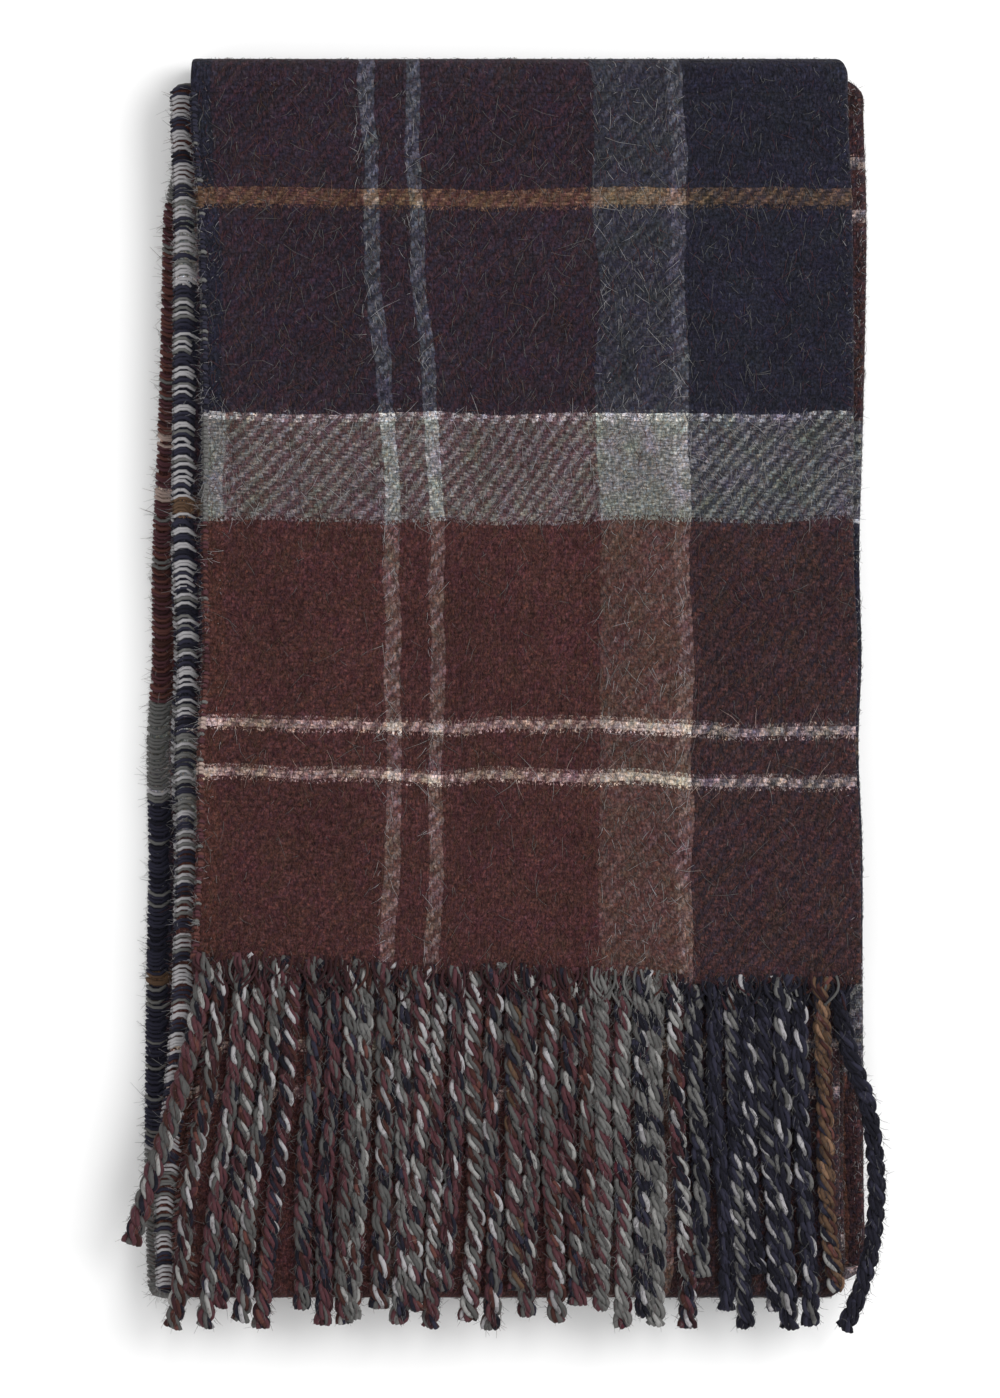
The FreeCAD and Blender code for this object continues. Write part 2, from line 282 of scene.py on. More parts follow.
# %% Where the weave has been pulled out of square
def pulled_address(across, along):
    """The weave's own address at each place on the cloth."""
    lean = 4.6 * MM * np.exp(-((across - 45 * MM) / (27 * MM)) ** 2)
    lean = lean * ease(-along, -172 * MM, -98 * MM) * (along < panel_ends[0])
    across = across - lean
    raised = 1.9 * MM * ease(along, 132 * MM, 174 * MM) * (1 - ease(along, 203 * MM, 225 * MM))
    y = panel_starts[1] + flap_high.y - along
    crowded = -6.5 * MM + 24 * MM * ((y - 20 * MM) / (118 * MM)) ** 2
    crowded = crowded * ease(-across, -24 * MM, -10 * MM)
    crowded = crowded * ease(along, 236 * MM, 262 * MM) * (1 - ease(along, 475 * MM, 500 * MM))
    return across, along + raised + crowded


# %% [markdown]
# Each stretch of cloth is a closed skin: it runs over the outer face from one selvedge, round the
# lengthwise fold, to the other selvedge, and back along the inner face. A plane with a solidify
# modifier would do the same, but then the weave's addresses would not reach the edges cleanly.

# %% Build one stretch of the doubled cloth as a closed mesh
WEAVE = "weave"


def new_mesh(name, points, faces, materials, addresses=None, tones=None):
    """A smooth mesh object; addresses give each face corner its place on the cloth."""
    mesh = bpy.data.meshes.new(name)
    mesh.from_pydata(points.tolist(), [], faces)
    if addresses is not None:
        layer = mesh.uv_layers.new(name=WEAVE)
        corners = np.empty(len(mesh.loops), dtype=np.int32)
        mesh.loops.foreach_get("vertex_index", corners)
        layer.data.foreach_set("uv", addresses[corners].astype(np.float32).ravel())
    for material in materials:
        mesh.materials.append(material)
    if tones is not None:
        mesh.polygons.foreach_set("material_index", np.asarray(tones, dtype=np.int32))
    mesh.polygons.foreach_set("use_smooth", np.ones(len(mesh.polygons), dtype=bool))
    mesh.validate()
    mesh.update()
    made = bpy.data.objects.new(name, mesh)
    bpy.context.scene.collection.objects.link(made)
    return made


def across_steps(step):
    """Addresses round one section of the doubled cloth: outer face there, inner face back."""
    edge = CLOTH / 2
    flat = max(int(HALF / step), 8)
    outer = np.linspace(edge, HALF, flat)
    fold = np.linspace(HALF, HALF + FOLD_ARC, 8)[1:-1]
    liner = np.linspace(HALF + FOLD_ARC, SCARF_WIDTH - edge, flat)
    way = np.concatenate([outer, fold, liner])
    rim = np.linspace(-math.pi / 2, math.pi / 2, 5)[1:-1]
    far = SCARF_WIDTH - edge + edge * np.cos(rim)
    near = edge - edge * np.cos(rim)
    across = np.concatenate([way, far, way[::-1], near])
    depth = np.concatenate([np.ones(len(way)), -np.sin(rim), -np.ones(len(way)), np.sin(rim)])
    return across, depth


def cloth_stretch(name, start, end, material, step=2 * MM, across_step=2 * MM):
    """The doubled cloth from one distance along to another, closed at both ends."""
    stops = [start, end] + [s for s in run_starts if start < s < end]
    stops = np.unique(np.round(stops, 7))
    rows = [start]
    for low, high in zip(stops, stops[1:]):
        k = int(np.searchsorted(run_starts, (low + high) / 2, side="right") - 1)
        fine = 0.5 * MM if line[k].turn else step
        count = max(int(math.ceil((high - low) / fine)), 1)
        rows += list(np.linspace(low, high, count + 1)[1:])
    rows = np.array(rows)
    across, depth = across_steps(across_step)
    ring = len(across)
    grid_across = np.tile(across, len(rows))
    grid_depth = np.tile(depth, len(rows))
    grid_along = np.repeat(rows, ring)
    points = cloth_point(grid_across, grid_along, grid_depth)
    i = np.arange(len(rows) - 1)[:, None] * ring
    j = np.arange(ring)[None, :]
    k = (j + 1) % ring
    sides = np.stack([i + j, i + k, i + ring + k, i + ring + j], axis=-1).reshape(-1, 4)
    way = np.arange((ring - 6) // 2 - 1)
    back = ring - 4 - way
    cap = np.stack([way, back, back - 1, way + 1], axis=-1)
    last = (len(rows) - 1) * ring
    lid = cap[:, ::-1] + last
    turn = len(way)
    rims = [[turn + 4, turn + 3, turn + 2, turn + 1, turn],
            [0, ring - 1, ring - 2, ring - 3, ring - 4]]
    faces = sides.tolist() + cap.tolist() + lid.tolist()
    faces += rims + [[n + last for n in rim[::-1]] for rim in rims]
    addresses = np.stack(pulled_address(grid_across, grid_along), axis=-1)
    made = new_mesh(name, points, faces, [material], addresses)
    print(name, "rows", len(rows), "faces", len(faces), "length %.0f mm" % ((end - start) / MM))
    return made


# %% [markdown]
# The tartan is woven from a few dyed yarns. The same list of stripes runs along the weft and across
# the warp, and where two colours cross, the twill shows a little more of the weft. The colours are
# named once here and used by the cloth, the fringe, the selvedges and the loose hairs.

# %% The dyed yarns
YARNS = {
    "rust": (0.043, 0.0168, 0.0142),
    "maroon": (0.0325, 0.0125, 0.0150),
    "navy": (0.0100, 0.0098, 0.0165),
    "slate": (0.115, 0.113, 0.110),
    "pale": (0.33, 0.25, 0.22),
    "silver": (0.31, 0.30, 0.31),
    "ochre": (0.085, 0.050, 0.031),
    "crimson": (0.058, 0.014, 0.020),
}
DARK = ("rust", "maroon", "navy")
WEFT_REPEAT = 254.8        # millimetres along the scarf
WEFT_CENTRE = 50.0         # middle of the brown block, from the flap's woven edge
WEFT_STRIPES = (           # from the middle of the brown block outwards, the same on both sides
    (0.0, "rust"), (4.1, "pale"), (6.7, "rust"), (51.8, "slate"), (74.9, "silver"), (76.3, "navy"),
    (125.1, "ochre"),
)
WARP_STRIPES = (           # from the flap's selvedge across to the liner's
    (0.0, "maroon"), (36.8, "silver"), (40.2, "maroon"), (47.3, "silver"), (50.7, "maroon"),
    (90.8, "slate"), (109.0, "silver"), (111.9, "navy"), (153.5, "ochre"), (158.5, "navy"),
    (199.0, "slate"), (220.0, "maroon"),
)
WARP_BOLDNESS = (          # how strongly each warp stripe shows among the weft
    (0.0, 1.0), (36.8, 0.62), (40.2, 1.0), (47.3, 0.62), (50.7, 1.0), (90.8, 0.55), (109.0, 0.62),
    (111.9, 1.0), (153.5, 0.8), (158.5, 1.0), (199.0, 0.55), (220.0, 1.0),
)
WEFT_CLEARNESS = (         # how little each weft stripe's weave is hidden by the nap
    (0.0, 0.15), (4.1, 0.6), (6.7, 0.15), (51.8, 1.0), (76.3, 0.15), (125.1, 0.9),
)


def stripe(stripes, where):
    """The yarn at a place, in millimetres, in a list of stripes."""
    return [yarn for start, yarn in stripes if start <= where][-1]


def weft_yarn(along_mm):
    half = WEFT_REPEAT / 2
    return stripe(WEFT_STRIPES, abs((along_mm - WEFT_CENTRE + half) % WEFT_REPEAT - half))


def warp_yarn(across_mm):
    return stripe(WARP_STRIPES, min(max(across_mm, 0), SCARF_WIDTH / MM))


print("weft yarns along the flap:", [weft_yarn(s) for s in range(0, 203, 20)])


# %% [markdown]
# Node materials are built from small sums, so a few helpers keep them readable: one adds a maths
# node, one adds any other node, and one makes a colour ramp from a list of stripes.

# %% Helpers for node materials
def add(tree, kind, **values):
    """A new node; values name its inputs, and a value may be a number or another node's output."""
    node = tree.nodes.new(kind)
    for name, value in values.items():
        plug(tree, node.inputs[name.replace("_", " ")], value)
    return node


def plug(tree, socket, value):
    if isinstance(value, bpy.types.NodeSocket):
        tree.links.new(value, socket)
    else:
        socket.default_value = value


def set_finish(shader, **values):
    """Numbers and colours that are the same all over, on the shader's own sockets."""
    for name, value in values.items():
        shader.inputs[name.replace("_", " ")].default_value = value


def sums(tree, operation, a, b=0.0, c=0.0):
    """A maths node's result."""
    node = tree.nodes.new("ShaderNodeMath")
    node.operation = operation
    for socket, value in zip(node.inputs, (a, b, c)):
        plug(tree, socket, value)
    return node.outputs[0]


def smooth(tree, value, low, high, to_low=0.0, to_high=1.0):
    node = tree.nodes.new("ShaderNodeMapRange")
    node.interpolation_type = "SMOOTHSTEP"
    for socket, given in zip(node.inputs, (value, low, high, to_low, to_high)):
        plug(tree, socket, given)
    return node.outputs[0]


def blend_colour(tree, share, first, second, how="MIX"):
    node = tree.nodes.new("ShaderNodeMix")
    node.data_type = "RGBA"
    node.blend_type = how
    plug(tree, node.inputs[0], share)
    for socket, value in ((node.inputs[6], first), (node.inputs[7], second)):
        plug(tree, socket, value if isinstance(value, bpy.types.NodeSocket) else (*value, 1.0))
    return node.outputs[2]


def noise(tree, place, scale, detail=2.0, rough=0.5, twist=0.0):
    node = add(tree, "ShaderNodeTexNoise", Vector=place, Scale=scale, Detail=detail,
               Roughness=rough, Distortion=twist)
    return node.outputs


MIXING = 3.0        # colours are mixed as cube roots, because dark fibres hide light ones


def sett(tree, value, stripes, length):
    """A ramp of sharp stripes; a yarn's colour goes in as its cube root, ready for mixing."""
    node = tree.nodes.new("ShaderNodeValToRGB")
    ramp = node.color_ramp
    ramp.interpolation = "CONSTANT"
    for number, (start, yarn) in enumerate(stripes):
        place = start / length
        stop = ramp.elements[number] if number < 2 else ramp.elements.new(place)
        stop.position = place
        colour = [c ** (1 / MIXING) for c in YARNS[yarn]] if yarn in YARNS else [yarn] * 3
        stop.color = (*colour, 1.0)
    plug(tree, node.inputs[0], sums(tree, "DIVIDE", value, length))
    return node.outputs[0]


# %% [markdown]
# The twill: each weft thread passes over two warp ends and under two, and each row starts one end
# further on, which makes the diagonal lines. The material works out, for each place, how high the
# nearest weft float and the nearest warp float stand. The higher one shows its colour, and the same
# height drives the bump and paints shade into the colour: the low gaps between threads are darker
# and the float tops lighter. Brushing raises a nap that blurs all this, so fine noise hides some
# threads and shows others, and where the weave stays clear the noise is drawn out along the weft.
# Its streaks are partly the fibres' own uneven tone and partly painted light, lighter where raised
# fibres catch the light and darker between them.

# %% The brushed twill material
END = 0.88         # millimetres from one warp end to the next
PICK = 0.96        # millimetres from one weft thread to the next
NAP_DRAG = 4.5     # millimetres over which brushed fibres carry one stripe's colour into the next
STREWN = 1.1       # how far loose fibres hide or uncover the weave at random
HEATHER = 1.15     # how strongly single dyed fibres differ from their neighbours
BLEND = 0.42       # how strongly the blend of dyed fibres drifts from wine to olive along the yarn
NAP_HIDES = 2.6    # how far the nap hides one thread and shows another
SHEEN_TINT = (0.8, 0.72, 0.68, 1.0)


def cloth_address(tree):
    """Millimetres across and along the strip, wandering a little as real threads do."""
    uv = tree.nodes.new("ShaderNodeUVMap")
    uv.uv_map = WEAVE
    plain = add(tree, "ShaderNodeVectorMath", Vector=uv.outputs[0])
    plain.operation = "SCALE"
    plug(tree, plain.inputs["Scale"], 1000.0)
    place = plain.outputs[0]
    wander = noise(tree, place, 0.035, 2.0)[1]
    shiver = noise(tree, place, 0.7, 1.0)[1]
    split = tree.nodes.new("ShaderNodeSeparateXYZ")
    plug(tree, split.inputs[0], place)
    drift = tree.nodes.new("ShaderNodeSeparateColor")
    plug(tree, drift.inputs[0], wander)
    shake = tree.nodes.new("ShaderNodeSeparateColor")
    plug(tree, shake.inputs[0], shiver)
    found = []
    for axis, sway, shiver_by in ((0, 5.0, 0.9), (1, 3.5, 0.7)):
        moved = sums(tree, "MULTIPLY_ADD", drift.outputs[axis], sway, split.outputs[axis])
        moved = sums(tree, "MULTIPLY_ADD", shake.outputs[axis], shiver_by, moved)
        found.append(sums(tree, "SUBTRACT", moved, (sway + shiver_by) / 2))
    return place, found[0], found[1]


def float_height(tree, phase, width):
    """How high a float stands: phase runs 0 to 1 over four threads, width 0 to 1 over one."""
    along = sums(tree, "MULTIPLY", sums(tree, "ABSOLUTE", sums(tree, "SUBTRACT", phase, 0.25)), 4.0)
    beside = sums(tree, "MULTIPLY", sums(tree, "ABSOLUTE", sums(tree, "SUBTRACT", width, 0.5)), 2.0)
    low = sums(tree, "MULTIPLY_ADD", sums(tree, "POWER", along, 2.4), -0.95, 1.0)
    return sums(tree, "MULTIPLY_ADD", sums(tree, "POWER", beside, 2.0), -0.75, low)


def brushed_twill(name):
    material = bpy.data.materials.new(name)
    material.use_nodes = True
    tree = material.node_tree
    shader = tree.nodes["Principled BSDF"]
    place, across, along = cloth_address(tree)
    end = sums(tree, "DIVIDE", across, END)
    pick = sums(tree, "DIVIDE", along, PICK)
    end_number = sums(tree, "FLOOR", end)
    pick_number = sums(tree, "FLOOR", pick)
    weft_phase = sums(tree, "FRACT", sums(tree, "MULTIPLY", sums(tree, "SUBTRACT", end, pick_number),
                                          0.25))
    warp_phase = sums(tree, "FRACT", sums(tree, "MULTIPLY", sums(
        tree, "ADD", sums(tree, "SUBTRACT", pick, end_number), 3.0), 0.25))
    weft_high = float_height(tree, weft_phase, sums(tree, "FRACT", pick))
    warp_high = float_height(tree, warp_phase, sums(tree, "FRACT", end))
    snapped = sums(tree, "MULTIPLY", sums(tree, "ADD", pick_number, 0.5), PICK)
    mirrored = sums(tree, "PINGPONG", sums(tree, "SUBTRACT", snapped, WEFT_CENTRE), WEFT_REPEAT / 2)
    clear = sett(tree, mirrored, WEFT_CLEARNESS, WEFT_REPEAT / 2)
    hidden = sums(tree, "MULTIPLY_ADD", clear, -0.7, 1.0)
    fibres = add(tree, "ShaderNodeMapping", Vector=place, Scale=(1.9, 1.2, 1.0),
                 Rotation=(0.0, 0.0, -0.3))
    combed = noise(tree, fibres.outputs[0], 1.0, 3.0, 0.62, 1.2)
    lying = add(tree, "ShaderNodeMapping", Vector=place, Scale=(0.55, 2.7, 1.0),
                Rotation=(0.0, 0.0, 0.12))
    spun = noise(tree, lying.outputs[0], 1.0, 2.0, 0.6, 0.3)
    leaning = add(tree, "ShaderNodeMapping", Vector=place, Scale=(2.4, 1.0, 1.0),
                  Rotation=(0.0, 0.0, 0.6))
    crossing = noise(tree, leaning.outputs[0], 1.0, 2.0, 0.6, 1.6)
    fuzz = noise(tree, place, 0.35, 2.0)
    nap = sums(tree, "MULTIPLY", sums(tree, "SUBTRACT", combed[0], 0.5),
               sums(tree, "MULTIPLY", hidden, NAP_HIDES))
    over = sums(tree, "ADD", sums(tree, "SUBTRACT", weft_high, warp_high), nap)
    showing = smooth(tree, over, -1.25, 0.75)
    covered = smooth(tree, fuzz[0], 0.38, 0.62, 0.10, 0.42)
    covered = sums(tree, "MAXIMUM", covered, sums(tree, "MULTIPLY", clear, 0.42))
    showing = sums(tree, "MULTIPLY_ADD", sums(tree, "SUBTRACT", showing, 0.6), covered, 0.6)
    strewn = sums(tree, "MULTIPLY", sums(tree, "SUBTRACT", crossing[0], 0.5), hidden)
    showing = sums(tree, "MULTIPLY_ADD", strewn, STREWN, showing)
    end_middle = sums(tree, "MULTIPLY", sums(tree, "ADD", end_number, 0.5), END)
    edge = sums(tree, "MINIMUM", across, sums(tree, "SUBTRACT", SCARF_WIDTH / MM, across))
    bold = sett(tree, end_middle, WARP_BOLDNESS, SCARF_WIDTH / MM)
    showing = sums(tree, "SUBTRACT", 1.0, sums(tree, "MULTIPLY", sums(tree, "SUBTRACT", 1.0, showing),
                                               bold))
    showing = sums(tree, "MAXIMUM", showing, smooth(tree, edge, 5.2, 4.2))
    dragged = sums(tree, "MULTIPLY_ADD", combed[0], NAP_DRAG, snapped)
    repeat = sums(tree, "SUBTRACT", dragged, WEFT_CENTRE + NAP_DRAG / 2)
    from_centre = sums(tree, "PINGPONG", repeat, WEFT_REPEAT / 2)
    weft = sett(tree, from_centre, WEFT_STRIPES, WEFT_REPEAT / 2)
    warp = sett(tree, end_middle, WARP_STRIPES, SCARF_WIDTH / MM)
    colour = blend_colour(tree, showing, warp, weft)
    plain = add(tree, "ShaderNodeGamma", Color=colour, Gamma=MIXING).outputs[0]
    heather = noise(tree, fibres.outputs[0], 0.9, 2.0, 0.65, 0.4)[1]
    tint = add(tree, "ShaderNodeSeparateColor", Color=heather)
    between = sums(tree, "MULTIPLY", sums(tree, "ADD", tint.outputs[0], tint.outputs[2]), 0.5)
    warm_cool = add(tree, "ShaderNodeCombineXYZ", X=tint.outputs[0], Y=between, Z=tint.outputs[2])
    dyed = add(tree, "ShaderNodeVectorMath", Vector=warm_cool.outputs[0])
    dyed.operation = "MULTIPLY_ADD"
    plug(tree, dyed.inputs[1], (HEATHER, HEATHER, HEATHER))
    plug(tree, dyed.inputs[2], (1 - HEATHER / 2, 1 - HEATHER / 2, 1 - HEATHER / 2))
    flecked = blend_colour(tree, 1.0, plain, dyed.outputs[0], "MULTIPLY")
    wine = sums(tree, "SUBTRACT", noise(tree, place, 0.14, 2.5, 0.6, 0.5)[0], 0.5)
    drifting = tree.nodes.new("ShaderNodeCombineColor")
    for socket, way in zip(drifting.inputs, (0.3, -0.8, 1.0)):
        plug(tree, socket, sums(tree, "MULTIPLY_ADD", wine, way * BLEND, 1.0))
    flecked = blend_colour(tree, 1.0, flecked, drifting.outputs[0], "MULTIPLY")
    patches = noise(tree, place, 0.045, 3.0, 0.6)[0]
    mottle = noise(tree, place, 0.8, 3.0, 0.65, 0.8)[0]
    # Painted shade: the colour is darkened where both floats sit low, in the gaps between threads, and
    # lightened on the float tops.
    ridge = sums(tree, "MAXIMUM", weft_high, warp_high)
    light = smooth(tree, ridge, -0.5, 0.8, 0.66, 1.1)
    # The nap streaks are partly the fibres' own uneven tone and partly painted light: lighter where
    # raised fibres catch the light, darker between them. The patches and mottle in the loop below are the
    # wool's own uneven tone.
    streaks = sums(tree, "MULTIPLY_ADD", sums(tree, "SUBTRACT", spun[0], combed[0]), clear, combed[0])
    for pattern, low, high, darkest, lightest in (
            (streaks, 0.28, 0.74, 0.5, 1.75), (crossing[0], 0.30, 0.76, 0.7, 1.6),
            (patches, 0.3, 0.7, 0.88, 1.14), (mottle, 0.32, 0.70, 0.66, 1.44)):
        light = sums(tree, "MULTIPLY", light, smooth(tree, pattern, low, high, darkest, lightest))
    shade = tree.nodes.new("ShaderNodeCombineColor")
    for socket in shade.inputs:
        plug(tree, socket, light)
    toned = blend_colour(tree, 1.0, flecked, shade.outputs[0], "MULTIPLY")
    plug(tree, shader.inputs["Base Color"], toned)
    set_finish(shader, Roughness=0.92, Specular_IOR_Level=0.1, Sheen_Weight=0.035,
               Sheen_Roughness=0.5, Sheen_Tint=SHEEN_TINT)
    relief = sums(tree, "MULTIPLY_ADD", streaks, 1.5, sums(tree, "MULTIPLY", ridge, 0.75))
    relief = sums(tree, "ADD", relief, crossing[0])
    bump = add(tree, "ShaderNodeBump", Strength=0.55, Distance=0.0004, Height=relief)
    plug(tree, shader.inputs["Normal"], bump.outputs[0])
    return material


TWILL = brushed_twill("tartan_twill")


# %% [markdown]
# Loose yarn, the fringe and the raised hairs are each one dyed colour. They get real geometry for
# every thread, so their materials stay plain wool: dull, a little fuzzy at grazing light.

# %% Plain wool for single threads
def wool(name, colour, lift):
    material = bpy.data.materials.new("wool_" + name)
    material.use_nodes = True
    shader = material.node_tree.nodes["Principled BSDF"]
    lifted = [min(c * lift, 1.0) for c in colour]
    set_finish(shader, Base_Color=(*lifted, 1.0), Roughness=0.9, Specular_IOR_Level=0.12,
               Sheen_Weight=0.04, Sheen_Roughness=0.5, Sheen_Tint=SHEEN_TINT)
    return material


# Each dye also gets a deep and a bright copy. The fringe's yarns pick among them at random for their
# mottle; the brushed hairs, the fringe fuzz and most dark selvedge loops take the bright copies as
# painted highlight, for fibres that catch the light.
DEEP = 0.62
BRIGHT = 2.1
WOOLS = []
WOOL_NUMBER = {}
for yarn, dye in YARNS.items():
    for word, strength in (("", 1.0), ("deep_", DEEP), ("bright_", BRIGHT)):
        WOOL_NUMBER[word + yarn] = len(WOOLS)
        WOOLS.append(wool(word + yarn, dye, strength))
print("wools:", sorted(WOOL_NUMBER))


# %% The stretches of cloth
SEAM_INSET = 3.2 * MM        # the flap and the base give way to the top fold this far before it
flap_seam_along = flap_high.y - SEAM_INSET - flap_end
spine = (panel_ends[0] + panel_starts[1]) / 2
base_seam_along = panel_starts[1] + SEAM_INSET

flap_cloth = cloth_stretch("flap_cloth", 0.0, flap_seam_along, TWILL)
flap_corner = cloth_stretch("flap_corner", flap_seam_along, spine, TWILL, 0.5 * MM)
base_corner = cloth_stretch("base_corner", spine, base_seam_along, TWILL, 0.5 * MM)
base_cloth = cloth_stretch("base_cloth", base_seam_along, panel_starts[2], TWILL)
second_cloth = cloth_stretch("second_cloth", panel_starts[2], panel_starts[3], TWILL)
third_cloth = cloth_stretch("third_cloth", panel_starts[3], panel_starts[4], TWILL, 3 * MM, 3 * MM)
fourth_cloth = cloth_stretch("fourth_cloth", panel_starts[4], panel_starts[5], TWILL, 3 * MM, 3 * MM)
core_cloth = cloth_stretch("core_cloth", panel_starts[5], SCARF_LENGTH, TWILL, 3 * MM, 3 * MM)


# %% [markdown]
# At a selvedge each weft thread turns back round the last warp end, so the edge is a row of small
# loops. Cloth shading alone can't show them from the side. Each loop is a short tube that runs over
# the top face, round the edge and back underneath. On the outer sheet the loops keep the weft's
# colour; on the liner they come in pale and navy groups. Most dark loops on both edges take the
# bright copy of their yarn: painted light that lifts the sides of the stack, which sit in shade.

# %% Tubes that follow given points
UP = np.array([0.0, 0.0, 1.0])


def unit(vectors):
    return vectors / np.maximum(np.linalg.norm(vectors, axis=-1, keepdims=True), 1e-12)


def tubes(paths, radii, sides):
    """Points and faces of closed round tubes; paths is (count, stops, 3), radii (count, stops)."""
    count, stops, _ = paths.shape
    heading = unit(np.gradient(paths, axis=1))
    spare = np.where(np.abs(heading[..., 2:3]) > 0.8, np.array([0.0, 1.0, 0.0]), UP)
    beside = unit(np.cross(heading, spare))
    above = np.cross(beside, heading)
    angle = np.linspace(0, 2 * math.pi, sides, endpoint=False)
    ring = (beside[:, :, None] * np.cos(angle)[None, None, :, None]
            + above[:, :, None] * np.sin(angle)[None, None, :, None])
    points = paths[:, :, None] + ring * radii[:, :, None, None]
    start = (np.arange(count) * stops * sides)[:, None, None]
    i = np.arange(stops - 1)[None, :, None] * sides + start
    j = np.arange(sides)[None, None, :]
    k = (j + 1) % sides
    walls = np.stack([i + j, i + sides + j, i + sides + k, i + k], axis=-1).reshape(-1, 4)
    first = (start[:, 0] + np.arange(sides)).tolist()
    last = (start[:, 0] + (stops - 1) * sides + np.arange(sides)[::-1]).tolist()
    return points.reshape(-1, 3), walls.tolist(), first, last


# %% The selvedge loops
BUNDLE_LOOP_REACH = 4.6 * MM
FLAP_LOOP_REACH = 1.3 * MM
LOOP_RADIUS = 0.40 * MM
LINER_BLOCK = 7.6              # millimetres of selvedge in one pale and navy group
SHORT_BLOCK = 4.0              # the same on the stretch below, where the groups crowd together
SHORT_BLOCKS_FROM = 648 * MM
SHORT_BLOCKS_TO = 716 * MM


def selvedge_loops(name, start, end, liner, seed, longest):
    """Loops along one selvedge, from one distance along the strip to another."""
    chance = np.random.default_rng(seed)
    count = int((end - start) / (PICK * MM))
    along = start + (np.arange(count) + 0.5) * (end - start) / count
    turn = np.array([1.0, 0.62, 0.25, 0.02, -0.06, 0.02, 0.25, 0.62, 1.0])
    depth = np.array([0.7, 1.12, 1.2, 0.85, 0.0, -0.85, -1.2, -1.12, -0.7])
    reach = longest * chance.uniform(0.78, 1.12, count)
    across = reach[:, None] * turn[None, :] - 0.12 * MM * chance.random(count)[:, None]
    if liner:
        across = SCARF_WIDTH - across
    bulge = 1.25 * np.sin(math.pi * np.clip(turn * 0.9 + 0.1, 0, 1)) * min(longest / (4 * MM), 1)
    lean = chance.normal(0, 0.2, count)[:, None] + bulge[None, :]
    stops = along[:, None] + lean * MM + 0 * across
    paths = cloth_point(across.ravel(), stops.ravel(), np.tile(depth, count))
    paths = paths.reshape(count, len(turn), 3)
    paths[..., 2] = np.maximum(paths[..., 2], LOOP_RADIUS)
    radii = LOOP_RADIUS * chance.uniform(0.86, 1.12, count)[:, None] * np.ones(len(turn))
    points, walls, first, last = tubes(paths, radii, 6)
    tones = []
    for number, distance in enumerate(along):
        edge = SCARF_WIDTH if liner else 0.0
        yarn = weft_yarn(float(pulled_address(np.array(edge), np.array(distance))[1]) / MM)
        if liner and yarn != "ochre":
            crowded = SHORT_BLOCKS_FROM < distance < SHORT_BLOCKS_TO
            block = SHORT_BLOCK if crowded else LINER_BLOCK
            yarn = "silver" if distance / MM % block < block * 0.6 else "navy"
        if yarn == "rust" and chance.random() < 0.5:
            yarn = "maroon"
        if yarn == "silver" and chance.random() < 0.2:
            yarn = "slate"
        elif yarn in DARK and chance.random() < 0.12:
            yarn = "slate"
        # Painted light: most dark loops take the bright copy of their yarn, which lifts the sides of the
        # stack where they sit in shade.
        lifted = "bright_" if yarn in ("navy", "maroon", "rust") and chance.random() < 0.85 else ""
        tones.append(WOOL_NUMBER[lifted + yarn])
    per_loop = (len(turn) - 1) * 6
    faces = walls + first + last
    face_tones = list(np.repeat(tones, per_loop)) + tones + tones
    return new_mesh(name, points, faces, WOOLS, None, face_tones)


SPANS = [(PANELS[n], base_seam_along if n == 1 else panel_ends[n - 1], panel_ends[n])
         for n in range(1, len(PANELS))]      # each inner panel with the fold before it
EDGE_WORDS = ((False, ""), (True, "liner_"))
flap_loops = [selvedge_loops("flap_selvedge", 0.0, flap_seam_along, False, 1, FLAP_LOOP_REACH),
              selvedge_loops("flap_liner_selvedge", 0.0, flap_seam_along, True, 2,
                             FLAP_LOOP_REACH)]
bundle_loops = []
for number, (panel, low, high) in enumerate(SPANS, 1):
    for liner, word in EDGE_WORDS:
        bundle_loops.append(selvedge_loops(panel + "_" + word + "selvedge", low, high, liner,
                                           3 + 2 * number + liner, BUNDLE_LOOP_REACH))
print("selvedge pieces:", len(flap_loops) + len(bundle_loops))


# %% [markdown]
# The fringe: at the woven end, nine or ten warp ends are divided into two plies, each ply is twisted
# one way and the two are twisted together the other way. So each strand is ten thin yarns winding
# in two groups. A pale yarn comes round to the front again and again, which makes the rows of pale
# dashes. A twisted texture on a plain tube would look the same from above, but not at its edges.

# %% One two-ply strand
YARN_RADIUS = 0.56 * MM
IN_PLY = 0.70 * MM             # from a ply's middle to the middle of each of its yarns
PLY_BREADTH = 1.45             # plies press flat against each other, so each is this much broader
PLY_OFFSET = 0.90 * MM         # from the strand's middle to a ply's middle
STRAND_THICK = PLY_OFFSET + IN_PLY + YARN_RADIUS
FLATTENED = 0.72               # a strand that lies on cloth is a little wider than it is high
LAY = 7.0 * MM                 # one full turn of the two plies round each other
PLY_LAY = 5.6 * MM             # one full turn of the yarns inside a ply
YARNS_PER_PLY = 5
SIDES = 5
RING_STEP = 0.80 * MM


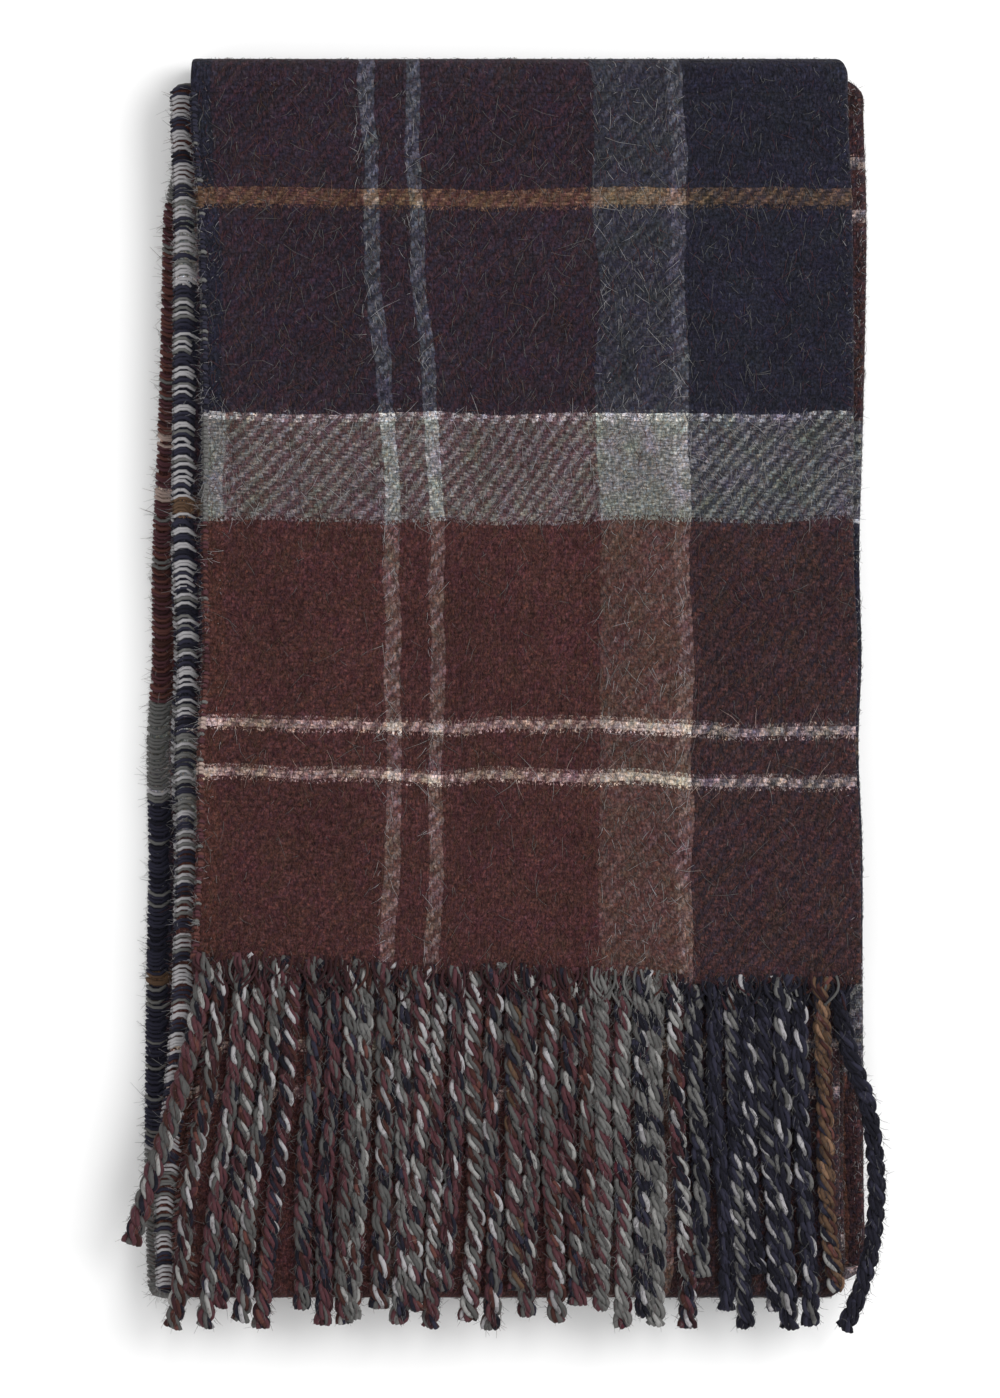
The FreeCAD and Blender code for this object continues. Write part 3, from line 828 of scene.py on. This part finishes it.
def strand_mesh(path, dyes, chance):
    """Points, faces and tones of one strand that follows a path from the cloth to its tip."""
    lengths = np.linalg.norm(np.diff(path, axis=0), axis=1)
    along = np.concatenate([[0.0], np.cumsum(lengths)])
    total = along[-1]
    rings = max(int(total / RING_STEP), 8)
    stops = np.linspace(0, total, rings)
    centre = np.stack([np.interp(stops, along, path[:, k]) for k in range(3)], axis=-1)
    heading = unit(np.gradient(centre, axis=0))
    beside = unit(np.cross(heading, UP))
    above = FLATTENED * np.cross(beside, heading)
    loosen = 1 + 0.9 * np.exp(-stops / (2.2 * MM)) + 0.25 * np.exp(-(total - stops) / (2.0 * MM))
    lay = LAY * chance.uniform(0.86, 1.2)
    wind = 2 * math.pi * (stops - 2.2 * MM * (1 - np.exp(-stops / (2.2 * MM)))) / lay
    wind += 0.35 * np.sin(stops / (7 * MM) + chance.uniform(0, 6))
    thick = chance.uniform(0.94, 1.1)
    yarn_paths = []
    for ply in range(2):
        turn = wind + ply * math.pi + chance.uniform(-0.15, 0.15)
        apart = np.cos(turn)[:, None] * beside + np.sin(turn)[:, None] * above
        round_it = np.cos(turn)[:, None] * above - np.sin(turn)[:, None] * beside
        middle = centre + (PLY_OFFSET * thick * loosen)[:, None] * apart
        spin = -2 * math.pi * stops / (PLY_LAY * chance.uniform(0.85, 1.2)) + chance.uniform(0, 6)
        for yarn in range(YARNS_PER_PLY):
            angle = spin + 2 * math.pi * yarn / YARNS_PER_PLY + chance.normal(0, 0.12)
            off = IN_PLY * thick * (1 + 0.14 * np.sin(stops / (2.6 * MM) + chance.uniform(0, 6)))
            yarn_paths.append(middle + (off * np.cos(angle))[:, None] * apart
                              + (off * PLY_BREADTH * np.sin(angle))[:, None] * round_it)
    paths = np.array(yarn_paths)
    slub = 1 + 0.10 * np.repeat(chance.normal(0, 1, (len(paths), rings // 2 + 1)), 2, axis=1)[:, :rings]
    points, walls, first, last = tubes(paths, YARN_RADIUS * thick * slub, SIDES)
    shade = np.repeat(chance.random((len(paths), rings // 3 + 1)), 3, axis=1)[:, :rings - 1]
    tones = []
    for dye, row in zip(dyes, shade):
        for value in row:
            word = "deep_" if value < 0.30 else "bright_" if value > 0.84 and dye in DARK else ""
            tones += [WOOL_NUMBER[word + dye if dye in YARNS else dye]] * SIDES
    ends = [WOOL_NUMBER["deep_" + dye if dye in YARNS else dye] for dye in dyes]
    return points, walls + first + last, tones + ends + ends


# %% The yarns that each strand takes over from the warp above it
WARP_FLECKS = ("silver", "slate", "navy", "ochre", "crimson", "maroon")


def strand_dyes(across_mm, chance):
    """Ten yarns for the strand that gathers the warp ends around this place."""
    ground = warp_yarn(across_mm)
    most = {
        "maroon": ("maroon", "rust", "deep_slate", "navy", "deep_slate", "bright_maroon",
                   "bright_maroon"),
        "slate": ("slate", "slate", "bright_maroon", "slate", "navy", "slate"),
        "navy": ("navy", "bright_navy", "navy", "navy", "navy", "slate"),
        "silver": ("bright_maroon", "slate", "maroon", "slate", "rust", "navy"),
        "ochre": ("ochre", "bright_ochre", "rust", "ochre", "navy", "ochre"),
    }[ground]
    yarns = [str(chance.choice(most)) for _ in range(2 * YARNS_PER_PLY)]
    if chance.random() < (0.4 if ground == "navy" else 0.8):
        yarns[1] = "silver" if ground == "navy" else "bright_slate"
    if chance.random() < 0.45:
        yarns[YARNS_PER_PLY + 2] = "silver"
    if chance.random() < 0.5:
        yarns[3] = str(chance.choice(WARP_FLECKS))
    return yarns


# %% [markdown]
# Real strands wander, cross and clump. Each one starts square to the woven edge, then leans and
# sways by its own amounts. The left ones sweep outwards, neighbours lean together, and where the
# strands pass the bottom fold they droop a little.

# %% The flap's fringe
STRAND_COUNT = 18
PATH_STOPS = 60
TUCKED_IN = 1.6 * MM           # each strand starts this far inside the woven edge
FLAP_LEFT = flap_edges(np.array([flap_end]))[0][0]
fringe_low, fringe_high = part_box("flap_fringe_upper")
FRINGE_LONGEST = fringe_high.y - fringe_low.y
PITCH_X = 8.2 * MM
fringe_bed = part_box("second_panel_upper_sheet")[1].z
bottom_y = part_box("bottom_fold_outer")[0].y


def strand_path(root_x, height, lean, sway, turns, phase, length, lift):
    """A strand's middle line, from inside the woven edge to its tip."""
    t = np.linspace(0, 1, PATH_STOPS)
    swing = np.sin(2 * math.pi * (turns * t + phase)) - math.sin(2 * math.pi * phase)
    x = root_x + lean * t ** 1.25 + sway * swing * np.minimum(t * 3, 1) * (0.4 + 0.6 * t)
    y = flap_end + end_slant(root_x) + TUCKED_IN - length * t
    bed = fringe_bed + 0.85 * FLATTENED * STRAND_THICK
    z = height + (bed - height) * ease(t, 0, 0.16) + lift * np.sin(math.pi * np.clip(t, 0, 1)) ** 2
    past = np.maximum(bottom_y + 1.0 * MM - y, 0)
    return np.stack(settle(x, y, z - past ** 2 * 26.0), axis=-1)


ROUND_THE_FOLD = 12.5      # the outermost strands take in ends from this far round the fold


def shared_drift(x):
    """Neighbouring strands lean together, in both rows."""
    return (1.2 * np.sin(x * 160 + 0.5) + 0.8 * np.sin(x * 331 + 2.2)) * MM


def fringe_row(name, first_x, height, seed, lift, far_swings):
    """One sheet's row of strands; far_swings gives a few strands their own sideways swing."""
    chance = np.random.default_rng(seed)
    points, faces, tones, paths = [], [], [], []
    used = 0
    for number in range(STRAND_COUNT):
        root_x = first_x + number * PITCH_X + chance.normal(0, 0.35) * MM
        share = number / (STRAND_COUNT - 1)
        lean = (-12.0 * (1 - share / 0.5) ** 2 if share < 0.5 else 9.0 * (share - 0.5)) * MM
        lean += shared_drift(root_x) + chance.normal(0, 0.7) * MM
        length = FRINGE_LONGEST * chance.choice([0.86, 0.9, 0.95, 0.98, 1.0])
        length = (length - 2.5 * MM) * chance.uniform(0.98, 1.0) + end_slant(root_x)
        sway = chance.uniform(0.2, 1.0) * MM
        turns = chance.uniform(0.8, 1.5)
        phase = chance.uniform(0, 1)
        if number in far_swings:
            lean, sway, turns, phase, length = far_swings[number]
        path = strand_path(root_x, height, lean, sway, turns, phase, length,
                           lift * chance.uniform(0.1, 1.0))
        place = (root_x - FLAP_LEFT) / MM
        dyes = strand_dyes(place + ROUND_THE_FOLD * float(ease(place, 132, 143)), chance)
        if number in far_swings and number > 0:
            dyes = [dye if dye in DARK else "navy" for dye in dyes]
        more_points, more_faces, more_tones = strand_mesh(path, dyes, chance)
        points.append(more_points)
        faces += [tuple(v + used for v in face) for face in more_faces]
        tones += more_tones
        used += len(more_points)
        paths.append(path)
    made = new_mesh(name, np.concatenate(points), faces, WOOLS, None, tones)
    print(name, "strands", STRAND_COUNT, "faces", len(faces))
    return made, paths


sheet_heights = [(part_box("flap_" + word + "_sheet")[0].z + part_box("flap_" + word + "_sheet")[1].z) / 2
                 for word in ("upper", "under")]
root_left = FLAP_LEFT + 3.4 * MM
FLYAWAY = {0: (-15.2 * MM, 1.4 * MM, 0.6, 0.1, 66 * MM)}
STRAY = {17: (1.0 * MM, 11.5 * MM, 0.5, 0.0, 80 * MM)}
upper_fringe, upper_paths = fringe_row("flap_upper_fringe", root_left, sheet_heights[0], 21,
                                       0.4 * MM, FLYAWAY)
under_fringe, under_paths = fringe_row("flap_under_fringe", root_left + PITCH_X / 2,
                                       sheet_heights[1] + 0.35 * MM, 22, 0.1 * MM, STRAY)


# %% [markdown]
# Just inside the woven edge the warp ends still lie side by side, and they run together into a
# strand over a few millimetres. Without them each strand would look stuck on.

# %% The warp ends that gather into each strand
ENDS_PER_STRAND = 7            # the others are hidden below these
END_SPACING = 1.05 * MM
END_RADIUS = 0.30 * MM
END_STOPS = 7
END_SIDES = 6


def gathers(name, paths, height, seed):
    """Single yarns that leave the woven edge side by side and run together into a strand."""
    chance = np.random.default_rng(seed)
    ends, tones = [], []
    t = np.linspace(0, 1, END_STOPS)
    for path in paths:
        root = path[0]
        for number in range(ENDS_PER_STRAND):
            x = root[0] + (number - ENDS_PER_STRAND // 2) * END_SPACING + chance.normal(0, 0.2) * MM
            start = np.array([x, flap_end + end_slant(x) + chance.uniform(0.5, 2.5) * MM,
                              height + 0.35 * MM])
            reach = chance.uniform(4.0, 8.5) * MM
            far = np.array([np.interp(reach, root[1] - path[:, 1], path[:, k]) for k in range(3)])
            turn = chance.uniform(0, math.pi)
            far = far + np.array([math.cos(turn), 0, math.sin(turn)]) * STRAND_THICK * 0.8
            bow = np.array([0.5 * (x - root[0]), 0.0, 0.25 * MM])
            ends.append(start[None] * (1 - t[:, None]) + far[None] * t[:, None]
                        + bow[None] * np.sin(math.pi * t)[:, None])
            dye = warp_yarn((x - FLAP_LEFT) / MM)
            if dye == "silver" or chance.random() < 0.25:
                dye = str(chance.choice(("slate", "navy", "rust", "maroon")))
            tones.append(WOOL_NUMBER["deep_" + dye if chance.random() < 0.5 else dye])
    paths = np.array(ends)
    points, walls, first, last = tubes(paths, np.full(paths.shape[:2], END_RADIUS), END_SIDES)
    face_tones = list(np.repeat(tones, (END_STOPS - 1) * END_SIDES)) + tones + tones
    return new_mesh(name, points, walls + first + last, WOOLS, None, face_tones)


fringe_gathers = [gathers("flap_upper_gathers", upper_paths, sheet_heights[0], 27),
                  gathers("flap_under_gathers", under_paths, sheet_heights[1], 28)]


# %% [markdown]
# The scarf's other fringe is shut in the middle of the roll. Twisted yarns would cost many faces
# that nobody sees, so these strands are plain round cords.

# %% The core's fringe, shut in the middle of the roll
CORE_STOPS = 12
CORE_SIDES = 10


def core_row(name, node, seed):
    """The far end's strands lie straight inside the roll, so each is one plain round cord."""
    chance = np.random.default_rng(seed)
    low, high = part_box(node)
    x = np.linspace(low.x + 2.5 * MM, high.x - 2.5 * MM, STRAND_COUNT)
    t = np.linspace(0, 1, CORE_STOPS)
    sway = chance.normal(0, 0.5, (STRAND_COUNT, 1)) * MM * np.sin(3 * t)[None, :]
    paths = np.stack([x[:, None] + sway, low.y + (high.y - low.y) * t[None, :] + 0 * sway,
                      (low.z + high.z) / 2 + 0 * sway], axis=-1)
    paths = np.stack(settle(paths[..., 0], paths[..., 1], paths[..., 2]), axis=-1)
    radius = min(STRAND_THICK * 0.8, (high.z - low.z) / 2)
    points, walls, first, last = tubes(paths, np.full(paths.shape[:2], radius), CORE_SIDES)
    yarns = [WOOL_NUMBER[warp_yarn((place - low.x) / MM)] for place in x]
    face_tones = list(np.repeat(yarns, (CORE_STOPS - 1) * CORE_SIDES)) + yarns + yarns
    return new_mesh(name, points, walls + first + last, WOOLS, None, face_tones)


core_fringes = [core_row("core_inner_fringe_upper", "core_fringe_upper", 35),
                core_row("core_inner_fringe_under", "core_fringe_under", 36)]


# %% [markdown]
# Brushing pulls fine hairs out of the yarns, and they show most against the light at every edge.
# A particle system would need converting and gives less control, so each hair is a thin tapering
# tube of three stops, rooted on the cloth and mostly combed along it.

# %% Hairs on the brushed face
HAIR_RADIUS = 0.062 * MM
HAIR_STOPS = np.linspace(0, 1, 3)
STEP_ASIDE = 0.2 * MM


def grow(name, roots, headings, curls, lengths, tones, thick=1.0):
    """A mesh of tapering hairs."""
    t = HAIR_STOPS[None, :, None]
    paths = (roots[:, None] + headings[:, None] * t * lengths[:, None, None]
             + curls[:, None] * (t * lengths[:, None, None]) * t)
    paths[..., 2] = np.maximum(paths[..., 2], HAIR_RADIUS)
    radii = HAIR_RADIUS * thick * (1 - 0.6 * HAIR_STOPS)[None, :] * np.ones((len(roots), 1))
    points, walls, first, last = tubes(paths, radii, 3)
    per_hair = (len(HAIR_STOPS) - 1) * 3
    tones = np.asarray(tones)
    face_tones = np.concatenate([np.repeat(tones, per_hair), tones, tones])
    return new_mesh(name, points, walls + first + last, WOOLS, None, face_tones)


# Painted highlight: many hairs take a bright copy of a yarn's colour, for fibres that catch the light;
# the others keep the yarns' own dyes and a few coloured flecks.
HAIR_DYES = {
    "rust": ("bright_rust", "rust", "bright_rust", "bright_maroon", "ochre", "crimson"),
    "maroon": ("bright_maroon", "rust", "bright_rust", "slate", "ochre", "crimson"),
    "navy": ("bright_navy", "slate", "bright_navy", "navy", "bright_navy", "bright_maroon"),
    "slate": ("bright_slate", "slate", "silver", "slate", "bright_rust", "slate"),
    "pale": ("pale", "bright_slate", "pale", "slate", "pale", "rust"),
    "silver": ("silver", "bright_slate", "silver", "slate", "silver", "navy"),
    "ochre": ("ochre", "bright_ochre", "ochre", "bright_rust", "ochre", "slate"),
}


def cloth_hairs(name, across, along, rise, longest, seed, lit=0.0):
    """Hairs rooted at these addresses, on the outward face of the cloth."""
    chance = np.random.default_rng(seed)
    count = len(across)
    face = np.full(count, 0.96)
    roots = cloth_point(across, along, face)
    to_side = unit(cloth_point(across + STEP_ASIDE, along, face) - roots)
    to_top = unit(cloth_point(across, along + STEP_ASIDE, face) - roots)
    outward = unit(np.cross(to_side, to_top))
    angle = chance.normal(0, 0.55, count) + np.where(chance.random(count) < 0.72, math.pi, 0)
    lift = rise * chance.uniform(0.3, 1.3, count)
    headings = unit(np.sin(angle)[:, None] * to_side + np.cos(angle)[:, None] * to_top
                    + lift[:, None] * outward)
    curls = (chance.normal(0, 0.35, count)[:, None] * to_side
             - (0.8 * lift)[:, None] * outward + chance.normal(0, 0.15, count)[:, None] * to_top)
    lengths = longest * chance.uniform(0.35, 1.0, count) ** 1.3
    woven_across, woven_along = pulled_address(across, along)
    tones = []
    for u, s in zip(woven_across / MM, woven_along / MM):
        ground = weft_yarn(s) if chance.random() < 0.6 else warp_yarn(u)
        # Painted highlight: a share (lit) of the hairs is made silver, for hairs that catch the light
        # along the side folds.
        ground = "silver" if chance.random() < lit else ground
        tones.append(WOOL_NUMBER[HAIR_DYES[ground][chance.integers(6)]])
    return grow(name, roots, headings, curls, lengths, tones)


def scatter(count, across, along, seed):
    chance = np.random.default_rng(seed)
    return chance.uniform(*across, count) * MM, chance.uniform(*along, count)


FACE = (1.0, (HALF - 1 * MM) / MM)
fold_reach = ((HALF - 1.0 * MM) / MM, (HALF + FOLD_ARC + 1.0 * MM) / MM)
flap_naps = [
    cloth_hairs("flap_nap_short", *scatter(9000, FACE, (0.5 * MM, flap_seam_along), 41), 0.22,
                3.2 * MM, 51),
    cloth_hairs("flap_nap_long", *scatter(8000, FACE, (0.5 * MM, flap_seam_along), 42), 0.30,
                5.6 * MM, 52),
    cloth_hairs("flap_fold_fuzz", *scatter(2600, fold_reach, (0, flap_seam_along), 43), 1.3,
                2.2 * MM, 53, 0.06),
    cloth_hairs("flap_end_fuzz", *scatter(800, FACE, (-0.3 * MM, 1.6 * MM), 44), 0.8,
                4.0 * MM, 54),
]
flap_corner_nap = cloth_hairs("flap_corner_nap", *scatter(900, FACE, (flap_seam_along, spine), 45),
                              0.9, 2.6 * MM, 55)
base_corner_nap = cloth_hairs("base_corner_nap", *scatter(500, FACE, (spine, base_seam_along), 46),
                              0.9, 2.6 * MM, 56)
bundle_naps = []
for number, (panel, low, high) in enumerate(SPANS, 1):
    bundle_naps.append(cloth_hairs(panel + "_fold_fuzz",
                                   *scatter(2600, fold_reach, (low, high), 60 + number), 1.3,
                                   2.2 * MM, 70 + number, 0.45))
turns = ((panel_ends[1], panel_starts[2], "bottom_fold_nap"),
         (panel_ends[2], panel_starts[3], "second_fold_nap"),
         (panel_starts[2], panel_starts[2] + 75 * MM, "second_panel_nap"))
for low, high, name in turns:
    bundle_naps.append(cloth_hairs(name, *scatter(1500, FACE, (low, high), 80 + len(name)), 0.6,
                                   3.0 * MM, 90 + len(name)))


# %% Fuzz on the fringe and at the selvedges
def strand_fuzz(name, paths, per_strand, seed):
    """Fine fibres that lie along each strand and stand a little away from it."""
    chance = np.random.default_rng(seed)
    roots, headings, curls, tones = [], [], [], []
    for path in paths:
        place = chance.uniform(0, len(path) - 1.5, per_strand)
        centre = np.stack([np.interp(place, np.arange(len(path)), path[:, k]) for k in range(3)], -1)
        ahead = np.stack([np.interp(place + 1, np.arange(len(path)), path[:, k]) for k in range(3)], -1)
        turn = chance.uniform(-0.7, math.pi + 0.7, per_strand)
        out = np.stack([np.cos(turn), np.zeros(per_strand), np.sin(turn)], -1)
        roots.append(centre + out * STRAND_THICK * chance.uniform(0.6, 1.0, (per_strand, 1)))
        along = unit(ahead - centre) * np.where(chance.random(per_strand) < 0.75, 1, -1)[:, None]
        stand = chance.uniform(0.1, 1.0, (per_strand, 1))
        headings.append(unit(along + out * stand + chance.normal(0, 0.25, (per_strand, 3))))
        curls.append(chance.normal(0, 0.35, (per_strand, 3)) * np.array([1, 1, 0.5]))
        ground = warp_yarn((path[0][0] - FLAP_LEFT) / MM)
        tones += [WOOL_NUMBER[FUZZ_DYES[ground][i]] for i in chance.integers(0, 6, per_strand)]
    count = per_strand * len(paths)
    return grow(name, np.concatenate(roots), np.concatenate(headings), np.concatenate(curls),
                chance.uniform(0.6, 2.1, count) * MM, tones, 1.05)


# Painted highlight: as on the cloth, many fringe fibres take a bright copy of a yarn's colour, for fibres
# that catch the light.
FUZZ_DYES = {
    "maroon": ("bright_maroon", "slate", "bright_rust", "bright_navy", "maroon", "slate"),
    "slate": ("slate", "bright_slate", "slate", "bright_maroon", "slate", "bright_navy"),
    "navy": ("bright_navy", "navy", "slate", "bright_navy", "navy", "bright_navy"),
    "silver": ("slate", "bright_slate", "bright_maroon", "slate", "rust", "bright_navy"),
    "ochre": ("ochre", "bright_ochre", "slate", "ochre", "navy", "bright_rust"),
}
fringe_fuzz = [strand_fuzz("flap_upper_fringe_fuzz", upper_paths, 760, 31),
               strand_fuzz("flap_under_fringe_fuzz", under_paths, 760, 32)]


def edge_fuzz(name, start, end, liner, count, seed):
    """Frayed ends that stick out beyond a selvedge."""
    chance = np.random.default_rng(seed)
    along = chance.uniform(start, end, count)
    across = np.where(chance.random(count) < 0.5, chance.uniform(-0.3, 0.8, count),
                      chance.uniform(0.8, 5.0, count)) * MM
    if liner:
        across = SCARF_WIDTH - across
    depth = chance.uniform(-1.0, 1.9, count)
    roots = cloth_point(across, along, depth)
    inward = unit(cloth_point(across + (-1 if liner else 1) * MM, along, depth) - roots)
    headings = unit(-0.7 * inward + chance.normal(0, 0.7, (count, 3)))
    curls = chance.normal(0, 0.4, (count, 3))
    # Painted highlight: nearly half the frayed hairs are silver whatever the weft there, and the rest
    # draw on the bright hair dyes, which lightens the stack's shaded sides.
    yarns = [weft_yarn(s / MM) if chance.random() < 0.55 else "silver" for s in along]
    tones = [WOOL_NUMBER[HAIR_DYES[yarn][chance.integers(6)]] for yarn in yarns]
    return grow(name, roots, headings, curls, chance.uniform(0.6, 2.6, count) * MM, tones, 0.9)


flap_naps.append(edge_fuzz("flap_edge_fuzz", 0, flap_seam_along, False, 1800, 33))
for number, (panel, low, high) in enumerate(SPANS, 1):
    for liner, word in EDGE_WORDS:
        bundle_naps.append(edge_fuzz(panel + "_" + word + "edge_fuzz", low, high, liner, 2200,
                                     34 + 2 * number + liner))
print("hair pieces:", len(flap_naps) + len(bundle_naps) + 2 + len(fringe_fuzz))


# %% [markdown]
# The scarf lies on a plain pale surface under soft light that comes a little from the right, so the
# shadow falls softly to the left. The camera looks straight down through a long lens.

# %% Floor, light and camera
FRAME_HEIGHT = 317.6 * MM      # what the camera takes in at the height of the cloth
VIEW_DISTANCE = 1.6
SENSOR = 36.0                  # millimetres
WINDOW_WATTS = 11.5
ROOM_LIGHT = 0.92

floor_mesh = bpy.data.meshes.new("floor")
FLOOR_REACH = 4.0
floor_mesh.from_pydata([(-FLOOR_REACH, -FLOOR_REACH, 0), (FLOOR_REACH, -FLOOR_REACH, 0),
                        (FLOOR_REACH, FLOOR_REACH, 0), (-FLOOR_REACH, FLOOR_REACH, 0)], [],
                       [(0, 1, 2, 3)])
floor = bpy.data.objects.new("floor", floor_mesh)
floor_paint = bpy.data.materials.new("floor_paint")
floor_paint.use_nodes = True
set_finish(floor_paint.node_tree.nodes["Principled BSDF"], Base_Color=(0.9, 0.9, 0.9, 1.0),
           Roughness=1.0, Specular_IOR_Level=0.0)
floor_mesh.materials.append(floor_paint)
bpy.context.scene.collection.objects.link(floor)

world = bpy.data.worlds.new("pale_room")
world.use_nodes = True
world.node_tree.nodes["Background"].inputs[0].default_value = (1.0, 1.0, 1.0, 1.0)
world.node_tree.nodes["Background"].inputs[1].default_value = ROOM_LIGHT
bpy.context.scene.world = world


def softbox(name, place, size, watts):
    """A round soft lamp that points at the middle of the scarf."""
    lamp = bpy.data.lights.new(name, "AREA")
    lamp.shape = "DISK"
    lamp.size = size
    lamp.energy = watts
    made = bpy.data.objects.new(name, lamp)
    made.location = place
    direction = -np.array(place)
    from_z = math.acos(-direction[2] / np.linalg.norm(direction))
    made.rotation_euler = (from_z, 0.0, math.atan2(direction[1], direction[0]) - math.pi / 2)
    bpy.context.scene.collection.objects.link(made)


softbox("window_light", (0.75, 0.35, 1.0), 0.9, WINDOW_WATTS)

lens = bpy.data.cameras.new("overhead_camera")
lens.sensor_fit = "VERTICAL"
lens.sensor_height = SENSOR
lens.lens = SENSOR * VIEW_DISTANCE / FRAME_HEIGHT
camera = bpy.data.objects.new("overhead_camera", lens)
camera.location = (-1.5 * MM, 0.8 * MM, VIEW_DISTANCE + STACK)
bpy.context.scene.collection.objects.link(camera)
bpy.context.scene.camera = camera
bpy.context.scene.view_settings.view_transform = "Standard"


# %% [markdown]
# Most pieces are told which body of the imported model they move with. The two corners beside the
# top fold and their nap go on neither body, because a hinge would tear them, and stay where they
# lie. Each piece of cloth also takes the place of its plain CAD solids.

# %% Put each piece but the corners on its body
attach(flap_cloth, "flap")
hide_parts("flap_under_sheet", "flap_upper_sheet", "flap_side_fold")
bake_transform(flap_corner)
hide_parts("flap_corner_outer", "flap_corner_liner", "top_fold_outer")
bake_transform(base_corner)
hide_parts("base_corner_outer", "base_corner_liner", "top_fold_liner")
STRETCHES = (
    (base_cloth, "base", "bottom_fold"), (second_cloth, "second_panel", "second_fold"),
    (third_cloth, "third_panel", "third_fold"), (fourth_cloth, "fourth_panel", "core_fold"),
    (core_cloth, "core_panel", None),
)
for cloth, panel, fold in STRETCHES:
    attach(cloth, "bundle")
    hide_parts(panel + "_under_sheet", panel + "_upper_sheet", panel + "_side_fold")
    if fold:
        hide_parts(fold + "_outer", fold + "_liner")

flap_trims = flap_loops + flap_naps + fringe_fuzz + fringe_gathers
for piece in flap_trims + [upper_fringe, under_fringe]:
    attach(piece, "flap")
for piece in bundle_loops + bundle_naps + core_fringes:
    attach(piece, "bundle")
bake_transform(flap_corner_nap)
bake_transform(base_corner_nap)
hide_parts("flap_fringe_upper")
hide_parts("flap_fringe_under")
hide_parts("core_fringe_upper")
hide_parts("core_fringe_under")
